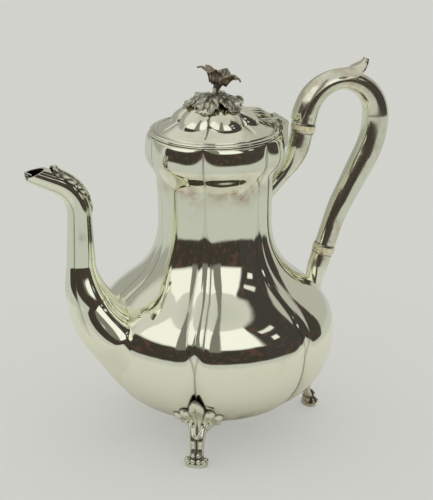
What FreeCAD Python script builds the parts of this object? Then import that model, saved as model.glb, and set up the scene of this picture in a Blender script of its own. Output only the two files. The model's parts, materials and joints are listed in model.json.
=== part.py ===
"""Melon-lobed silver coffee pot on three feet, with a hinged lid, a swan-neck spout and an insulated handle.

Sizes are millimetres. +Z is up and the origin lies on the pot's axis at table level.
+X points to the handle and the lid's hinge, -X to the spout, and the pot is symmetric about the XZ plane.
"""

import FreeCAD, Part
import math
import os

Vector = FreeCAD.Vector
UP = Vector(0, 0, 1)
SIDEWAYS = Vector(0, 1, 0)

# Vessel
LOBES = 6
WALL = 1.0
BASE_R = 31.0
BASE_Z = 15.0
BELLY_R = 75.2
BELLY_Z = 67.5
BELLY_ROUNDNESS = 0.87
SHOULDER_PULL = 32.0
NECK_R = 35.2
NECK_Z = 139.6
NECK_DROP_PULL = 45.5
THROAT_R = 36.0
THROAT_Z = 163.0
COLLAR_R = 43.0
COLLAR_Z = 182.0
COLLAR_PULL = 9.0
RIM_R = 40.0
RIM_Z = 193.0
MOUTH_LEDGE = 2.0
BELLY_CREASE = 2.6
NECK_CREASE = 0.8
COLLAR_CREASE = 1.7
BOTTOM_HOLE_R = 24.0
BOTTOM_PLATE_LAP = 3.0
BOTTOM_PLATE_T = 1.0

# Spout: a straight root, an elbow, a riser, the lip's bend and the lip
SPOUT_WALL = 1.0
SPOUT_REACH = 118.2
SPOUT_RISER_X = 86.5
SPOUT_ROOT_ANGLE = 49.0
SPOUT_ROOT_LENGTH = 32.0
SPOUT_ELBOW_R = 62.0
SPOUT_ELBOW_TOP_Z = 118.0
SPOUT_RISER_LENGTH = 32.0
SPOUT_LIP_R = 24.0
SPOUT_LIP_TURN = 65.0
SPOUT_LIP_LENGTH = 26.0
SPOUT_MOUTH_X = 98.0
SPOUT_MOUTH_Z = 183.6
SPOUT_MOUTH_FALL = 16.0
SPOUT_CREASES = (0, 45, 125, 235, 315)
SPOUT_CREASE_SHARE = 0.07
SPOUT_ROOT_HALF_HEIGHT = 23.0
SPOUT_ROOT_HALF_WIDTH = 38.0
SPOUT_ELBOW_IN_HALF_HEIGHT = 20.0
SPOUT_ELBOW_IN_HALF_WIDTH = 33.0
SPOUT_ELBOW_MID_HALF_HEIGHT = 13.6
SPOUT_ELBOW_MID_HALF_WIDTH = 18.0
SPOUT_RISER_FOOT_HALF_HEIGHT = 8.8
SPOUT_RISER_FOOT_HALF_WIDTH = 9.2
SPOUT_RISER_TOP_HALF_HEIGHT = 7.4
SPOUT_RISER_TOP_HALF_WIDTH = 7.6
SPOUT_LIP_BEND_HALF_HEIGHT = 6.6
SPOUT_LIP_BEND_HALF_WIDTH = 7.0
SPOUT_TIP_HALF_HEIGHT = 5.2
SPOUT_TIP_HALF_WIDTH = 6.6
STRAINER_HOLE_R = 1.8
STRAINER_PITCH = 6.0
STRAINER_Z = 66.0
SPOUT_LEAF_T = 1.9
SPOUT_LEAF_HALF_WIDTH = 5.4

# Handle: sockets on the vessel, insulators, and the hollow grip between them
TUBE_WALL = 1.0
UPPER_JOINT_X = 58.6
UPPER_JOINT_Z = 190.7
UPPER_JOINT_LEAN = 14.0
UPPER_JOINT_R = 7.2
GRIP_RISE = 8.0
LOOP_R = 24.0
ARM_R = 56.0
ARM_TURN = 28.5
ARM_LENGTH = 31.0
HEEL_R = 100.0
HEEL_TURN = 10.0
HEEL_LENGTH = 15.0
GRIP_TOP_R = 5.7
GRIP_ARM_R = 8.4
LOWER_JOINT_R = 6.6
UPPER_SOCKET_LENGTH = 11.0
UPPER_SOCKET_BEND_R = 36.0
UPPER_SOCKET_TURN = 30.0
UPPER_ROOT_LENGTH = 25.0
UPPER_ROOT_R = 4.4
LOWER_SOCKET_LENGTH = 10.0
LOWER_SOCKET_BEND_R = 60.0
LOWER_SOCKET_TURN = 10.0
LOWER_ROOT_LENGTH = 16.0
LOWER_ROOT_R = 5.4
INSULATOR_T = 3.2
INSULATOR_PROUD = 0.6
SPIGOT_LENGTH = 8.0
SPIGOT_CLEARANCE = 0.3
TUBE_RING_T = 1.4
TUBE_RING_PROUD = 0.35
PIN_R = 1.1
PIN_OFFSET = 4.6
PIN_PROUD = 0.35
PIN_CLEARANCE = 0.05
THUMB_LEAF_HALF_WIDTH = 8.2
THUMB_LEAF_T = 1.6
THUMB_TIP_R = 11.0
THUMB_TIP_TURN = 66.0

# Lid
LID_GAP = 0.3
LID_T = 1.2
LID_RISE = 9.5
LID_BOW = 1.1
LID_MOULDING_H = 2.6
LID_MOULDING_W = 5.0
BEZEL_CLEARANCE = 1.1
BEZEL_T = 1.0
BEZEL_DEPTH = 5.5
BOSS_R = 27.5
BOSS_H = 11.7
BOSS_TOP_R = 6.5
BOSS_WALL_PULL = 5.4
BOSS_CROWN_PULL = 10.5
BOSS_CROWN_DROP = 4.7
BOSS_CREASE_SHARE = 0.12

# Finial
FINIAL_LEAVES = 4
FINIAL_LEAF_R = 20.0
FINIAL_LEAF_T = 1.2
FINIAL_LEAF_WAIST = 6.5
FINIAL_LEAF_GAP = 0.4
STUD_R = 1.5
STUD_CLEARANCE = 0.05
STUD_IN_FLOWER = 5.0
NUT_R = 3.4
NUT_T = 2.6
WASHER_R = 4.2
WASHER_T = 0.7
FLOWER_STEM_R = 2.6
FLOWER_THROAT_R = 4.2
FLOWER_R = 14.5
FLOWER_H = 18.8
FLOWER_STEM_H = 6.0
FLOWER_TILT = 15.0
PETALS = 6
PETAL_T = 1.0
PETAL_NOTCH_R = 7.5

# Hinge
KNUCKLE_R = 2.3
KNUCKLE_LENGTH = 6.0
KNUCKLE_GAP = 0.3
HINGE_GAP = 0.5
HINGE_RISE = 3.5
HINGE_PIN_R = 1.0
HINGE_PIN_CLEARANCE = 0.05
HINGE_PIN_PROUD = 0.5
STRAP_T = 1.4
STRAP_HALF_WIDTH = 8.5
STRAP_LOW_Z = 177.0
SHELL_LENGTH = 17.0
SHELL_RISE = 5.0
SHELL_HALF_WIDTH = 8.0
SHELL_ROOT_HALF_WIDTH = 3.0
SHELL_H = 3.0
SHELL_FLUTES = 7
SHELL_FLUTE_RISE = 0.7

# Feet
FOOT_INSET = 8.7
FOOT_PAD_L = 9.0
FOOT_PAD_W = 12.0
FOOT_PAD_T = 2.4
FOOT_SCROLL_R = 3.3
FOOT_SCROLL_APART = 5.2
ANKLE_INSET = 10.7
ANKLE_Z = 13.0
ANKLE_HALF_DEPTH = 3.0
ANKLE_HALF_WIDTH = 4.6
FOOT_LEAF_ROOT_Z = 21.0
FOOT_LEAF_TIP_Z = 43.0
FOOT_LEAF_EDGE_Z = 31.0
FOOT_LEAF_HALF_WIDTH = 13.5
FOOT_FLUTES = 9
FOOT_FLUTE_R = 2.75

# Sizes that follow from the ones above
MOUTH_R = RIM_R - MOUTH_LEDGE
LID_R = RIM_R
LID_FIELD_R = LID_R - LID_MOULDING_W
BEZEL_R = MOUTH_R - BEZEL_CLEARANCE
BOTTOM_PLATE_R = BOTTOM_HOLE_R + BOTTOM_PLATE_LAP
FOOT_R = BELLY_R - FOOT_INSET
ANKLE_R = BELLY_R - ANKLE_INSET

EPS = 0.01


def mix(low, high, share):
    return low + (high - low) * share


def bezier(corners, share):
    """A point of the cubic curve with four corners, as a (radius, height) pair."""
    weights = [(1 - share) ** 3, 3 * share * (1 - share) ** 2, 3 * share ** 2 * (1 - share), share ** 3]
    return [sum(w * corner[axis] for w, corner in zip(weights, corners)) for axis in (0, 1)]


def polar(radius, degrees, height=0.0):
    turn = math.radians(degrees)
    return Vector(radius * math.cos(turn), radius * math.sin(turn), height)


def ring(centre, u, v, half_u, half_v, crease=0.0, creases=None):
    """A closed wire of arcs about centre, drawn in by the share crease where two lobes meet."""
    creases = creases or [360.0 / LOBES * k for k in range(LOBES)]

    def point(degrees, share):
        turn = math.radians(degrees)
        return centre + u * (half_u * share * math.cos(turn)) + v * (half_v * share * math.sin(turn))

    edges = []
    for here, after in zip(creases, list(creases[1:]) + [creases[0] + 360]):
        arc = Part.Arc(point(here, 1 - crease), point((here + after) / 2, 1), point(after, 1 - crease))
        edges.append(arc.toShape())
    return Part.Wire(edges)


def loft(wires):
    solid = Part.makeLoft(wires, True, False)
    if solid.Volume < 0:
        solid.reverse()
    return solid


def fuse(shapes):
    whole = shapes[0].multiFuse(shapes[1:]) if len(shapes) > 1 else shapes[0]
    return whole.removeSplitter()


def rod(start, end, radius, end_radius=None):
    """A cylinder, or a cone, from start to end."""
    along = end - start
    if end_radius is None or abs(end_radius - radius) < EPS:
        return Part.makeCylinder(radius, along.Length, start, along)
    return Part.makeCone(radius, end_radius, along.Length, start, along)


def walk(start, lean, pieces):
    """Stations (point, heading) along lines and arcs in the XZ plane.

    lean is the heading's angle from +Z towards +X. A piece is (length, 0, cuts) for a line, or
    (radius, turn, cuts) for an arc whose lean grows by turn.
    """
    def heading(degrees):
        return Vector(math.sin(math.radians(degrees)), 0, math.cos(math.radians(degrees)))

    point, stations = start, [(start, heading(lean))]
    for size, turn, cuts in pieces:
        for _ in range(cuts):
            step = turn / cuts
            chord = 2 * size * math.sin(math.radians(abs(step)) / 2) if turn else size / cuts
            point = point + heading(lean + step / 2) * chord
            lean += step
            stations.append((point, heading(lean)))
    return stations


def across(heading):
    """The in-plane normal on the outer side of the handle's loop and the under side of the spout."""
    return heading.cross(SIDEWAYS)


def tube(stations, radii):
    """A round tube's solid form, with its seams off the XZ plane."""
    seams = (45, 135, 225, 315)
    return loft([ring(p, across(h), SIDEWAYS, r, r, 0, seams) for (p, h), r in zip(stations, radii)])


def spread(values, cuts):
    """Values at landmarks, with cuts smooth steps between each two."""
    out = [values[0]]
    for here, after, count in zip(values, values[1:], cuts):
        out += [mix(here, after, k / count) for k in range(1, count + 1)]
    return out


# Vessel


def vessel_profile():
    """(radius, height, crease depth) from the base to the rim."""
    low = math.acos((BASE_R / BELLY_R) ** (1 / BELLY_ROUNDNESS))
    drop = (BELLY_Z - BASE_Z) / math.sin(low) ** BELLY_ROUNDNESS
    rows = []
    for k in range(6):
        turn = low * (1 - k / 6)
        radius = BELLY_R * math.cos(turn) ** BELLY_ROUNDNESS
        height = BELLY_Z - drop * math.sin(turn) ** BELLY_ROUNDNESS
        rows.append((radius, height, BELLY_CREASE * (1 - (1 - k / 6) ** 2)))
    shoulder = [
        (BELLY_R, BELLY_Z),
        (BELLY_R, BELLY_Z + SHOULDER_PULL),
        (NECK_R, NECK_Z - NECK_DROP_PULL),
        (NECK_R, NECK_Z),
    ]
    for k in range(10):
        radius, height = bezier(shoulder, k / 10)
        rows.append((radius, height, mix(BELLY_CREASE, NECK_CREASE, (k / 10) ** 2)))
    for k in range(5):
        radius = mix(NECK_R, THROAT_R, (k / 5) ** 2)
        rows.append((radius, mix(NECK_Z, THROAT_Z, k / 5), NECK_CREASE))
    lean = 2 * (THROAT_R - NECK_R) / (THROAT_Z - NECK_Z)
    flare = [
        (THROAT_R, THROAT_Z),
        (THROAT_R + lean * COLLAR_PULL, THROAT_Z + COLLAR_PULL),
        (COLLAR_R, COLLAR_Z - COLLAR_PULL),
        (COLLAR_R, COLLAR_Z),
    ]
    for k in range(6):
        radius, height = bezier(flare, k / 5)
        rows.append((radius, height, mix(NECK_CREASE, COLLAR_CREASE, k / 5)))
    for k in range(1, 5):
        turn = math.pi / 2 * k / 4
        radius = mix(RIM_R, COLLAR_R, math.cos(turn))
        height = mix(COLLAR_Z, RIM_Z, math.sin(turn))
        rows.append((radius, height, COLLAR_CREASE * math.cos(turn)))
    return rows


def vessel_form(offset=0.0):
    """The vessel's lobed form, moved out along its own normal by offset."""
    rows = vessel_profile()
    wires = []
    for k, (radius, height, crease) in enumerate(rows):
        below, above = rows[max(k - 1, 0)], rows[min(k + 1, len(rows) - 1)]
        run, rise = above[0] - below[0], above[1] - below[1]
        size = math.hypot(run, rise)
        out = radius + offset * rise / size
        level = height - offset * run / size
        wires.append(ring(Vector(0, 0, level), Vector(1, 0, 0), SIDEWAYS, out, out, crease / radius))
    return loft(wires)


def vessel_radius(height, degrees):
    """The vessel's outer radius at a height and a bearing."""
    rows = vessel_profile()
    height = min(max(height, rows[0][1]), rows[-1][1])
    for low, high in zip(rows, rows[1:]):
        if low[1] <= height <= high[1]:
            share = (height - low[1]) / max(high[1] - low[1], EPS)
            radius = mix(low[0], high[0], share)
            crease = mix(low[2], high[2], share)
            break
    half = math.pi / LOBES
    off = math.radians(degrees) % (2 * half) - half
    near = radius - crease
    # the lobe's arc passes through its middle at radius and its two creases at near
    middle = (radius ** 2 - near ** 2) / (2 * (radius - near * math.cos(half)))
    arc = radius - middle
    return middle * math.cos(off) + math.sqrt(arc ** 2 - (middle * math.sin(off)) ** 2)


def strainer_holes():
    """A hexagon of drilled holes in the vessel's wall behind the spout."""
    drills = []
    for row in range(-2, 3):
        count = 5 - abs(row)
        for k in range(count):
            y = STRAINER_PITCH * (k - (count - 1) / 2)
            z = STRAINER_Z + STRAINER_PITCH * math.sqrt(3) / 2 * row
            inside = Vector(-BELLY_R * 0.8, y, z)
            drills.append(rod(inside, inside + Vector(-BELLY_R * 0.3, 0, 0), STRAINER_HOLE_R))
    return drills


def make_body(outside):
    mouth = rod(Vector(0, 0, COLLAR_Z), Vector(0, 0, RIM_Z + WALL), MOUTH_R)
    drain = rod(Vector(0, 0, BASE_Z - WALL), Vector(0, 0, BASE_Z + 2 * WALL), BOTTOM_HOLE_R)
    shell = outside.cut(vessel_form(-WALL)).cut(mouth).cut(drain)
    return shell.cut(Part.makeCompound(strainer_holes()))


def make_bottom_plate(body):
    top = BASE_Z + WALL + BOTTOM_PLATE_T
    plate = rod(Vector(0, 0, BASE_Z + WALL), Vector(0, 0, top), BOTTOM_PLATE_R)
    return plate.cut(body)


# Spout


def spout_stations():
    bend = Vector(SPOUT_ELBOW_R - SPOUT_RISER_X, 0, SPOUT_ELBOW_TOP_Z)
    turn = 90 - SPOUT_ROOT_ANGLE
    low_cos = math.cos(math.radians(turn))
    low_sin = math.sin(math.radians(turn))
    foot = bend + Vector(-low_cos, 0, -low_sin) * SPOUT_ELBOW_R
    back = Vector(low_sin, 0, -low_cos) * SPOUT_ROOT_LENGTH
    pieces = [
        (SPOUT_ROOT_LENGTH, 0, 2), (SPOUT_ELBOW_R, turn, 4), (SPOUT_RISER_LENGTH, 0, 2),
        (SPOUT_LIP_R, -SPOUT_LIP_TURN, 4), (SPOUT_LIP_LENGTH, 0, 2),
    ]
    return walk(foot + back, -turn, pieces)


def spout_form(inset=0.0):
    """The spout's lobed form, with its section drawn in by inset."""
    # half height and half width of the section at each landmark of the path
    marks = [
        (SPOUT_ROOT_HALF_HEIGHT, SPOUT_ROOT_HALF_WIDTH),
        (SPOUT_ELBOW_IN_HALF_HEIGHT, SPOUT_ELBOW_IN_HALF_WIDTH),
        (SPOUT_ELBOW_MID_HALF_HEIGHT, SPOUT_ELBOW_MID_HALF_WIDTH),
        (SPOUT_RISER_FOOT_HALF_HEIGHT, SPOUT_RISER_FOOT_HALF_WIDTH),
        (SPOUT_RISER_TOP_HALF_HEIGHT, SPOUT_RISER_TOP_HALF_WIDTH),
        (SPOUT_LIP_BEND_HALF_HEIGHT, SPOUT_LIP_BEND_HALF_WIDTH),
        (SPOUT_TIP_HALF_HEIGHT, SPOUT_TIP_HALF_WIDTH),
    ]
    cuts = [2, 2, 2, 2, 4, 2]
    heights = spread([m[0] - inset for m in marks], cuts)
    widths = spread([m[1] - inset for m in marks], cuts)
    wires = []
    for (point, heading), high, wide in zip(spout_stations(), heights, widths):
        wires.append(ring(point, across(heading), SIDEWAYS, high, wide, SPOUT_CREASE_SHARE, SPOUT_CREASES))
    return loft(wires)


def half_space(side):
    """A box over the whole pot on one side of the XZ plane."""
    size = 2 * (BELLY_R + SPOUT_REACH)
    corner = Vector(-size / 2, 0 if side > 0 else -size, -size / 2)
    return Part.makeBox(size, size, size, corner)


def mouth_cutter():
    """Everything over the spout's open lip."""
    fall = math.radians(SPOUT_MOUTH_FALL)
    start = Vector(-SPOUT_MOUTH_X, 0, SPOUT_MOUTH_Z)
    reach = SPOUT_REACH
    out = start + Vector(-math.cos(fall), 0, -math.sin(fall)) * reach
    rise = Vector(0, 0, reach)
    lean = Vector(SPOUT_LIP_R / 2, 0, reach)
    face = Part.Face(Part.makePolygon([start, out, out + rise, start + lean, start]))
    face.translate(SIDEWAYS * -reach)
    return face.extrude(SIDEWAYS * (2 * reach))


def make_spout_halves(outside, outer):
    tip_cut = Part.makeBox(BELLY_R, 2 * BELLY_R, 4 * BELLY_R, Vector(-SPOUT_REACH - BELLY_R, -BELLY_R, 0))
    whole = outer.cut(spout_form(SPOUT_WALL)).cut(outside).cut(mouth_cutter()).cut(tip_cut)
    return [biggest(whole.common(half_space(side))) for side in (-1, 1)]


def biggest(shape):
    return max(shape.Solids, key=lambda solid: solid.Volume)


def make_spout_leaf(outer):
    """A cast leaf along the top of the lip's bend, with pairs of side lobes and a scroll over the mouth."""
    stations = spout_stations()[9:13]
    high = spread([SPOUT_RISER_TOP_HALF_HEIGHT, SPOUT_LIP_BEND_HALF_HEIGHT], [4])[1:]
    point, heading = stations[-1]
    stations.append((point + heading * (2 * SPOUT_LEAF_T), heading))
    high.append(high[-1] + 0.5 * SPOUT_LEAF_T)
    wires, lobes = [], []
    for k, ((point, heading), half) in enumerate(zip(stations, high)):
        share = k / (len(stations) - 1)
        swell = 0.45 + 0.55 * math.sin(math.pi * mix(0.1, 0.8, share))
        centre = point - across(heading) * half
        thick = SPOUT_LEAF_T * swell
        wide = SPOUT_LEAF_HALF_WIDTH * swell
        wires.append(ring(centre, across(heading), SIDEWAYS, thick, wide))
        if 0 < k < len(stations) - 1:
            for side in (-1, 1):
                knob = centre + SIDEWAYS * (side * wide * 0.85)
                lobes.append(Part.makeSphere(SPOUT_LEAF_T * mix(0.85, 1.05, share), knob))
    front = centre - across(heading) * (0.35 * SPOUT_LEAF_T)
    half_scroll = SIDEWAYS * (SPOUT_LEAF_HALF_WIDTH * 0.55)
    scroll = rod(front - half_scroll, front + half_scroll, SPOUT_LEAF_T * 0.95)
    return biggest(fuse([loft(wires), scroll] + lobes).cut(outer))


# Handle


def grip_stations():
    lean = UPPER_JOINT_LEAN
    along = Vector(math.sin(math.radians(lean)), 0, math.cos(math.radians(lean)))
    start = Vector(UPPER_JOINT_X, 0, UPPER_JOINT_Z) + along * (INSULATOR_T / 2)
    pieces = [
        (GRIP_RISE, 0, 2), (LOOP_R, 90 - lean, 6), (LOOP_R, 90, 6), (ARM_R, ARM_TURN, 4), (ARM_LENGTH, 0, 4),
        (HEEL_R, -HEEL_TURN, 3), (HEEL_LENGTH, 0, 3),
    ]
    return walk(start, lean, pieces)


def grip_radii(inset=0.0):
    heel = mix(GRIP_ARM_R, LOWER_JOINT_R, 0.6)
    marks = [UPPER_JOINT_R, UPPER_JOINT_R, GRIP_TOP_R, GRIP_ARM_R, GRIP_ARM_R, heel, LOWER_JOINT_R]
    marks = [m - inset for m in marks]
    return spread(marks, [2, 6, 6, 4, 4, 3]) + [marks[-1]] * 3


def upper_socket_stations():
    lean = UPPER_JOINT_LEAN
    along = Vector(math.sin(math.radians(lean)), 0, math.cos(math.radians(lean)))
    start = Vector(UPPER_JOINT_X, 0, UPPER_JOINT_Z) - along * (INSULATOR_T / 2)
    pieces = [
        (UPPER_SOCKET_LENGTH, 0, 2), (UPPER_SOCKET_BEND_R, UPPER_SOCKET_TURN, 4), (UPPER_ROOT_LENGTH, 0, 5),
    ]
    return walk(start, lean + 180, pieces)


def lower_joint():
    """The lower insulator's middle and the heading down through it."""
    point, heading = grip_stations()[-1]
    return point + heading * (INSULATOR_T / 2), heading


def lower_socket_stations():
    middle, heading = lower_joint()
    start = middle + heading * (INSULATOR_T / 2)
    lean = math.degrees(math.atan2(heading.x, heading.z))
    pieces = [
        (LOWER_SOCKET_LENGTH, 0, 2), (LOWER_SOCKET_BEND_R, -LOWER_SOCKET_TURN, 2), (LOWER_ROOT_LENGTH, 0, 3),
    ]
    return walk(start, lean, pieces)


def end_ring(start, heading, radius):
    return rod(start, start + heading * TUBE_RING_T, radius + TUBE_RING_PROUD)


def cross_pin(start, heading, radius, clearance=0.0):
    """A pin through a tube and the spigot in it, at PIN_OFFSET from the tube's end."""
    middle = start + heading * PIN_OFFSET
    reach = SIDEWAYS * (radius + PIN_PROUD + clearance)
    return rod(middle - reach, middle + reach, PIN_R + clearance)


def hollow_tube(stations, radii):
    """A tube with a ring at its first end and a pin hole."""
    start, heading = stations[0]
    outer = fuse([tube(stations, radii), end_ring(start, heading, radii[0])])
    bore = tube(stations, [r - TUBE_WALL for r in radii])
    return outer.cut(bore).cut(cross_pin(start, heading, radii[0] + TUBE_RING_PROUD, PIN_CLEARANCE))


def insulator(middle, heading, radius, pin_starts):
    """A disc with a spigot into each tube; pin_starts are the tubes' ends with the headings into them."""
    half = heading * (INSULATOR_T / 2)
    disc = rod(middle - half, middle + half, radius + INSULATOR_PROUD)
    reach = half + heading * SPIGOT_LENGTH
    spigot = rod(middle - reach, middle + reach, radius - TUBE_WALL - SPIGOT_CLEARANCE)
    whole = fuse([disc, spigot])
    for start, way in pin_starts:
        whole = whole.cut(cross_pin(start, way, radius + TUBE_RING_PROUD, PIN_CLEARANCE))
    return whole


def make_thumb_leaf(grip_outer):
    """A leaf laid over the grip's outer side from the upper joint, with a tip that curls up off the loop."""
    rows = []
    for (point, heading), radius in zip(grip_stations()[3:9], grip_radii()[3:9]):
        # the section's middle lies inside the tube, so that the leaf's edges come down its flanks
        rows.append((point + across(heading) * (0.35 * radius), heading, 0.65 * radius + THUMB_LEAF_T))
    start, heading, deep = rows[-1]
    crown = start + across(heading) * (deep - 0.5 * THUMB_LEAF_T)
    tip = walk(crown, 90, [(THUMB_TIP_R * 0.4, 0, 1), (THUMB_TIP_R, -THUMB_TIP_TURN, 4)])
    for k, (point, heading) in enumerate(tip[1:]):
        rows.append((point, heading, THUMB_LEAF_T * mix(0.9, 0.5, k / 4)))
    wires = []
    for k, (point, heading, deep) in enumerate(rows):
        share = k / (len(rows) - 1)
        wide = THUMB_LEAF_HALF_WIDTH * (0.86 + 0.14 * math.sin(math.pi * share)) * (1 - 0.6 * share ** 4)
        wires.append(ring(point, across(heading), SIDEWAYS, deep, wide))
    return biggest(loft(wires).cut(grip_outer))


# Lid


def lid_base_z():
    return RIM_Z + LID_GAP


def revolve(points):
    """A ring or disc from an outline of (radius, height) points."""
    outline = Part.makePolygon([Vector(r, 0, z) for r, z in points + points[:1]])
    return Part.Face(outline).revolve(Vector(0, 0, 0), UP, 360)


def field_level(radius):
    """The height of the lid's field, which climbs from its moulding to the boss, at a radius."""
    low = lid_base_z() + LID_MOULDING_H - 0.2
    share = (LID_FIELD_R - radius) / (LID_FIELD_R - BOSS_R * 0.75)
    return mix(low, lid_base_z() + LID_RISE, share ** LID_BOW)


def boss_rows(inset=0.0, steps=6):
    """(radius, height) up the middle of one of the boss's lobes, from the lid's field to its top."""
    foot = field_level(BOSS_R) - LID_T / 2
    crown = (BOSS_TOP_R + BOSS_CROWN_PULL, boss_top_z() - BOSS_CROWN_DROP)
    corners = [(BOSS_R, foot), (BOSS_R, foot + BOSS_WALL_PULL), crown, (BOSS_TOP_R, boss_top_z())]
    rows = [bezier(corners, k / steps) for k in range(steps + 1)]
    return [(radius - inset, height) for radius, height in rows]


def boss_wires(inset=0.0):
    wires = []
    rows = boss_rows(inset)
    for k, (radius, height) in enumerate(rows):
        share = k / (len(rows) - 1)
        crease = BOSS_CREASE_SHARE * (1 - 0.6 * share ** 2)
        wires.append(ring(Vector(0, 0, height - inset * share), Vector(1, 0, 0), SIDEWAYS, radius, radius, crease))
    return wires


def boss_top_z():
    return lid_base_z() + LID_RISE + BOSS_H


def make_lid():
    base = lid_base_z()
    inner = BOSS_R * 0.75
    moulding = base + LID_MOULDING_H
    radii = [mix(LID_FIELD_R, inner, k / 8) for k in range(9)]
    slope = [(radius, field_level(radius)) for radius in radii]
    under = [(radius, height - LID_T) for radius, height in reversed(slope)]
    edge = [
        (LID_FIELD_R + 0.4, base), (LID_R - 0.5, base), (LID_R, base + 0.5), (LID_R, base + 1.2),
        (LID_R - 0.7, base + 1.7), (LID_R - 1.7, base + 1.7),
        (LID_R - 2.0, base + 2.2), (LID_R - 2.9, moulding + 0.3), (LID_R - 3.8, moulding + 0.2),
    ]
    plate = revolve(under + edge + slope)
    hollow_wires = boss_wires(LID_T)
    hollow = loft(hollow_wires)
    opening = Part.Face(hollow_wires[0]).extrude(UP * (-2 * LID_T))
    boss = loft(boss_wires()).cut(hollow)
    hole = rod(Vector(0, 0, base), Vector(0, 0, boss_top_z() + LID_T), STUD_R + STUD_CLEARANCE)
    return fuse([plate.cut(hollow).cut(opening), boss]).cut(hole)


def make_bezel():
    low = Vector(0, 0, lid_base_z() - BEZEL_DEPTH)
    high = Vector(0, 0, lid_base_z())
    return rod(low, high, BEZEL_R).cut(rod(low, high, BEZEL_R - BEZEL_T))


# Finial


def star(points_count, notch, reach, turn=0.0, bulge=0.45):
    """A flat outline of pointed petals: arcs from notch to tip and back."""
    edges = []
    half = 180.0 / points_count
    for k in range(points_count):
        at = turn + 360.0 / points_count * k
        left, tip, right = polar(notch, at - half), polar(reach, at), polar(notch, at + half)
        middle = mix(notch, reach, 0.5)
        edges.append(Part.Arc(left, polar(middle, at - half * (1 - bulge)), tip).toShape())
        edges.append(Part.Arc(tip, polar(middle, at + half * (1 - bulge)), right).toShape())
    return Part.Face(Part.Wire(edges))


def make_finial_leaves():
    """Leaves that drape over the boss, lifted a little at their tips."""
    rows = [row for row in reversed(boss_rows(steps=24)) if row[0] < FINIAL_LEAF_R - LID_T]
    top = boss_top_z()
    under = [(STUD_R + STUD_CLEARANCE, top), rows[0]]
    under += [(r + FINIAL_LEAF_GAP, z) for r, z in rows[1:]]
    under.append((FINIAL_LEAF_R, rows[-1][1]))
    above = [(r + FINIAL_LEAF_T * 0.7, z + FINIAL_LEAF_T) for r, z in reversed(under[1:])]
    above.append((STUD_R + STUD_CLEARANCE, top + FINIAL_LEAF_T))
    cap = revolve(under + above)
    outline = star(FINIAL_LEAVES, FINIAL_LEAF_WAIST, FINIAL_LEAF_R + FINIAL_LEAF_T)
    return biggest(cap.common(outline.extrude(UP * (2 * top))))


def flower_base_z():
    return boss_top_z() + FINIAL_LEAF_T


def make_flower():
    """A lily: a round stem, a flared throat and recurved petals, nodding towards the handle."""
    throat = FLOWER_STEM_H
    flare = FLOWER_H
    sunk = -FLOWER_STEM_R
    outer = [(FLOWER_STEM_R, sunk), (FLOWER_STEM_R * 0.8, throat * 0.6), (FLOWER_THROAT_R * 0.85, throat)]
    outer += [(FLOWER_THROAT_R * 1.5, mix(throat, flare, 0.55)), (FLOWER_R * 0.62, flare - 1.6)]
    outer += [(FLOWER_R * 0.85, flare - 1.6), (FLOWER_R, flare - 5.0)]
    inner = [(FLOWER_R + 0.6, flare - 4.4), (FLOWER_R * 0.87, flare - 0.4), (FLOWER_R * 0.6, flare)]
    inner += [(FLOWER_THROAT_R * 1.5 - PETAL_T, mix(throat, flare, 0.62)), (0, throat + 2.5), (0, sunk)]
    outline = star(PETALS, PETAL_NOTCH_R, FLOWER_R + 1.0, 30)
    outline.translate(UP * sunk)
    bell = revolve(outer + inner).common(outline.extrude(UP * (2 * flare)))
    bell.rotate(Vector(0, 0, 0), SIDEWAYS, FLOWER_TILT)
    foot = rod(Vector(0, 0, 0), Vector(0, 0, throat * 0.7), FLOWER_STEM_R * 1.25, FLOWER_STEM_R * 0.9)
    below = rod(Vector(0, 0, 2 * sunk), Vector(0, 0, 0), FLOWER_R)
    bore = rod(Vector(0, 0, sunk), Vector(0, 0, STUD_IN_FLOWER), STUD_R + STUD_CLEARANCE)
    flower = biggest(fuse([bell, foot]).cut(below).cut(bore))
    flower.translate(UP * flower_base_z())
    return flower


def washer_top_z():
    return boss_top_z() - LID_T


def make_washer():
    low = Vector(0, 0, washer_top_z() - WASHER_T)
    disc = Part.makeCylinder(WASHER_R, WASHER_T, low)
    return disc.cut(Part.makeCylinder(STUD_R + STUD_CLEARANCE, WASHER_T, low))


def make_nut():
    low = Vector(0, 0, washer_top_z() - WASHER_T - NUT_T)
    corners = [polar(NUT_R, 60 * k, low.z) for k in range(7)]
    block = Part.Face(Part.makePolygon(corners)).extrude(UP * NUT_T)
    return block.cut(Part.makeCylinder(STUD_R + STUD_CLEARANCE, NUT_T, low))


def make_stud():
    low = washer_top_z() - WASHER_T - NUT_T - STUD_R
    return rod(Vector(0, 0, low), Vector(0, 0, flower_base_z() + STUD_IN_FLOWER - STUD_CLEARANCE), STUD_R)


# Hinge


def hinge_axis():
    """A point on the lid hinge's axis, which runs along Y."""
    return Vector(LID_R + HINGE_GAP + KNUCKLE_R, 0, lid_base_z() + HINGE_RISE)


def barrel(low, high, radius=KNUCKLE_R):
    axis = hinge_axis()
    return rod(axis + SIDEWAYS * low, axis + SIDEWAYS * high, radius)


def knuckle_spans():
    half = KNUCKLE_LENGTH / 2
    near = half + KNUCKLE_GAP
    far = near + KNUCKLE_LENGTH
    return (-half, half), ((-far, -near), (near, far))


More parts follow.
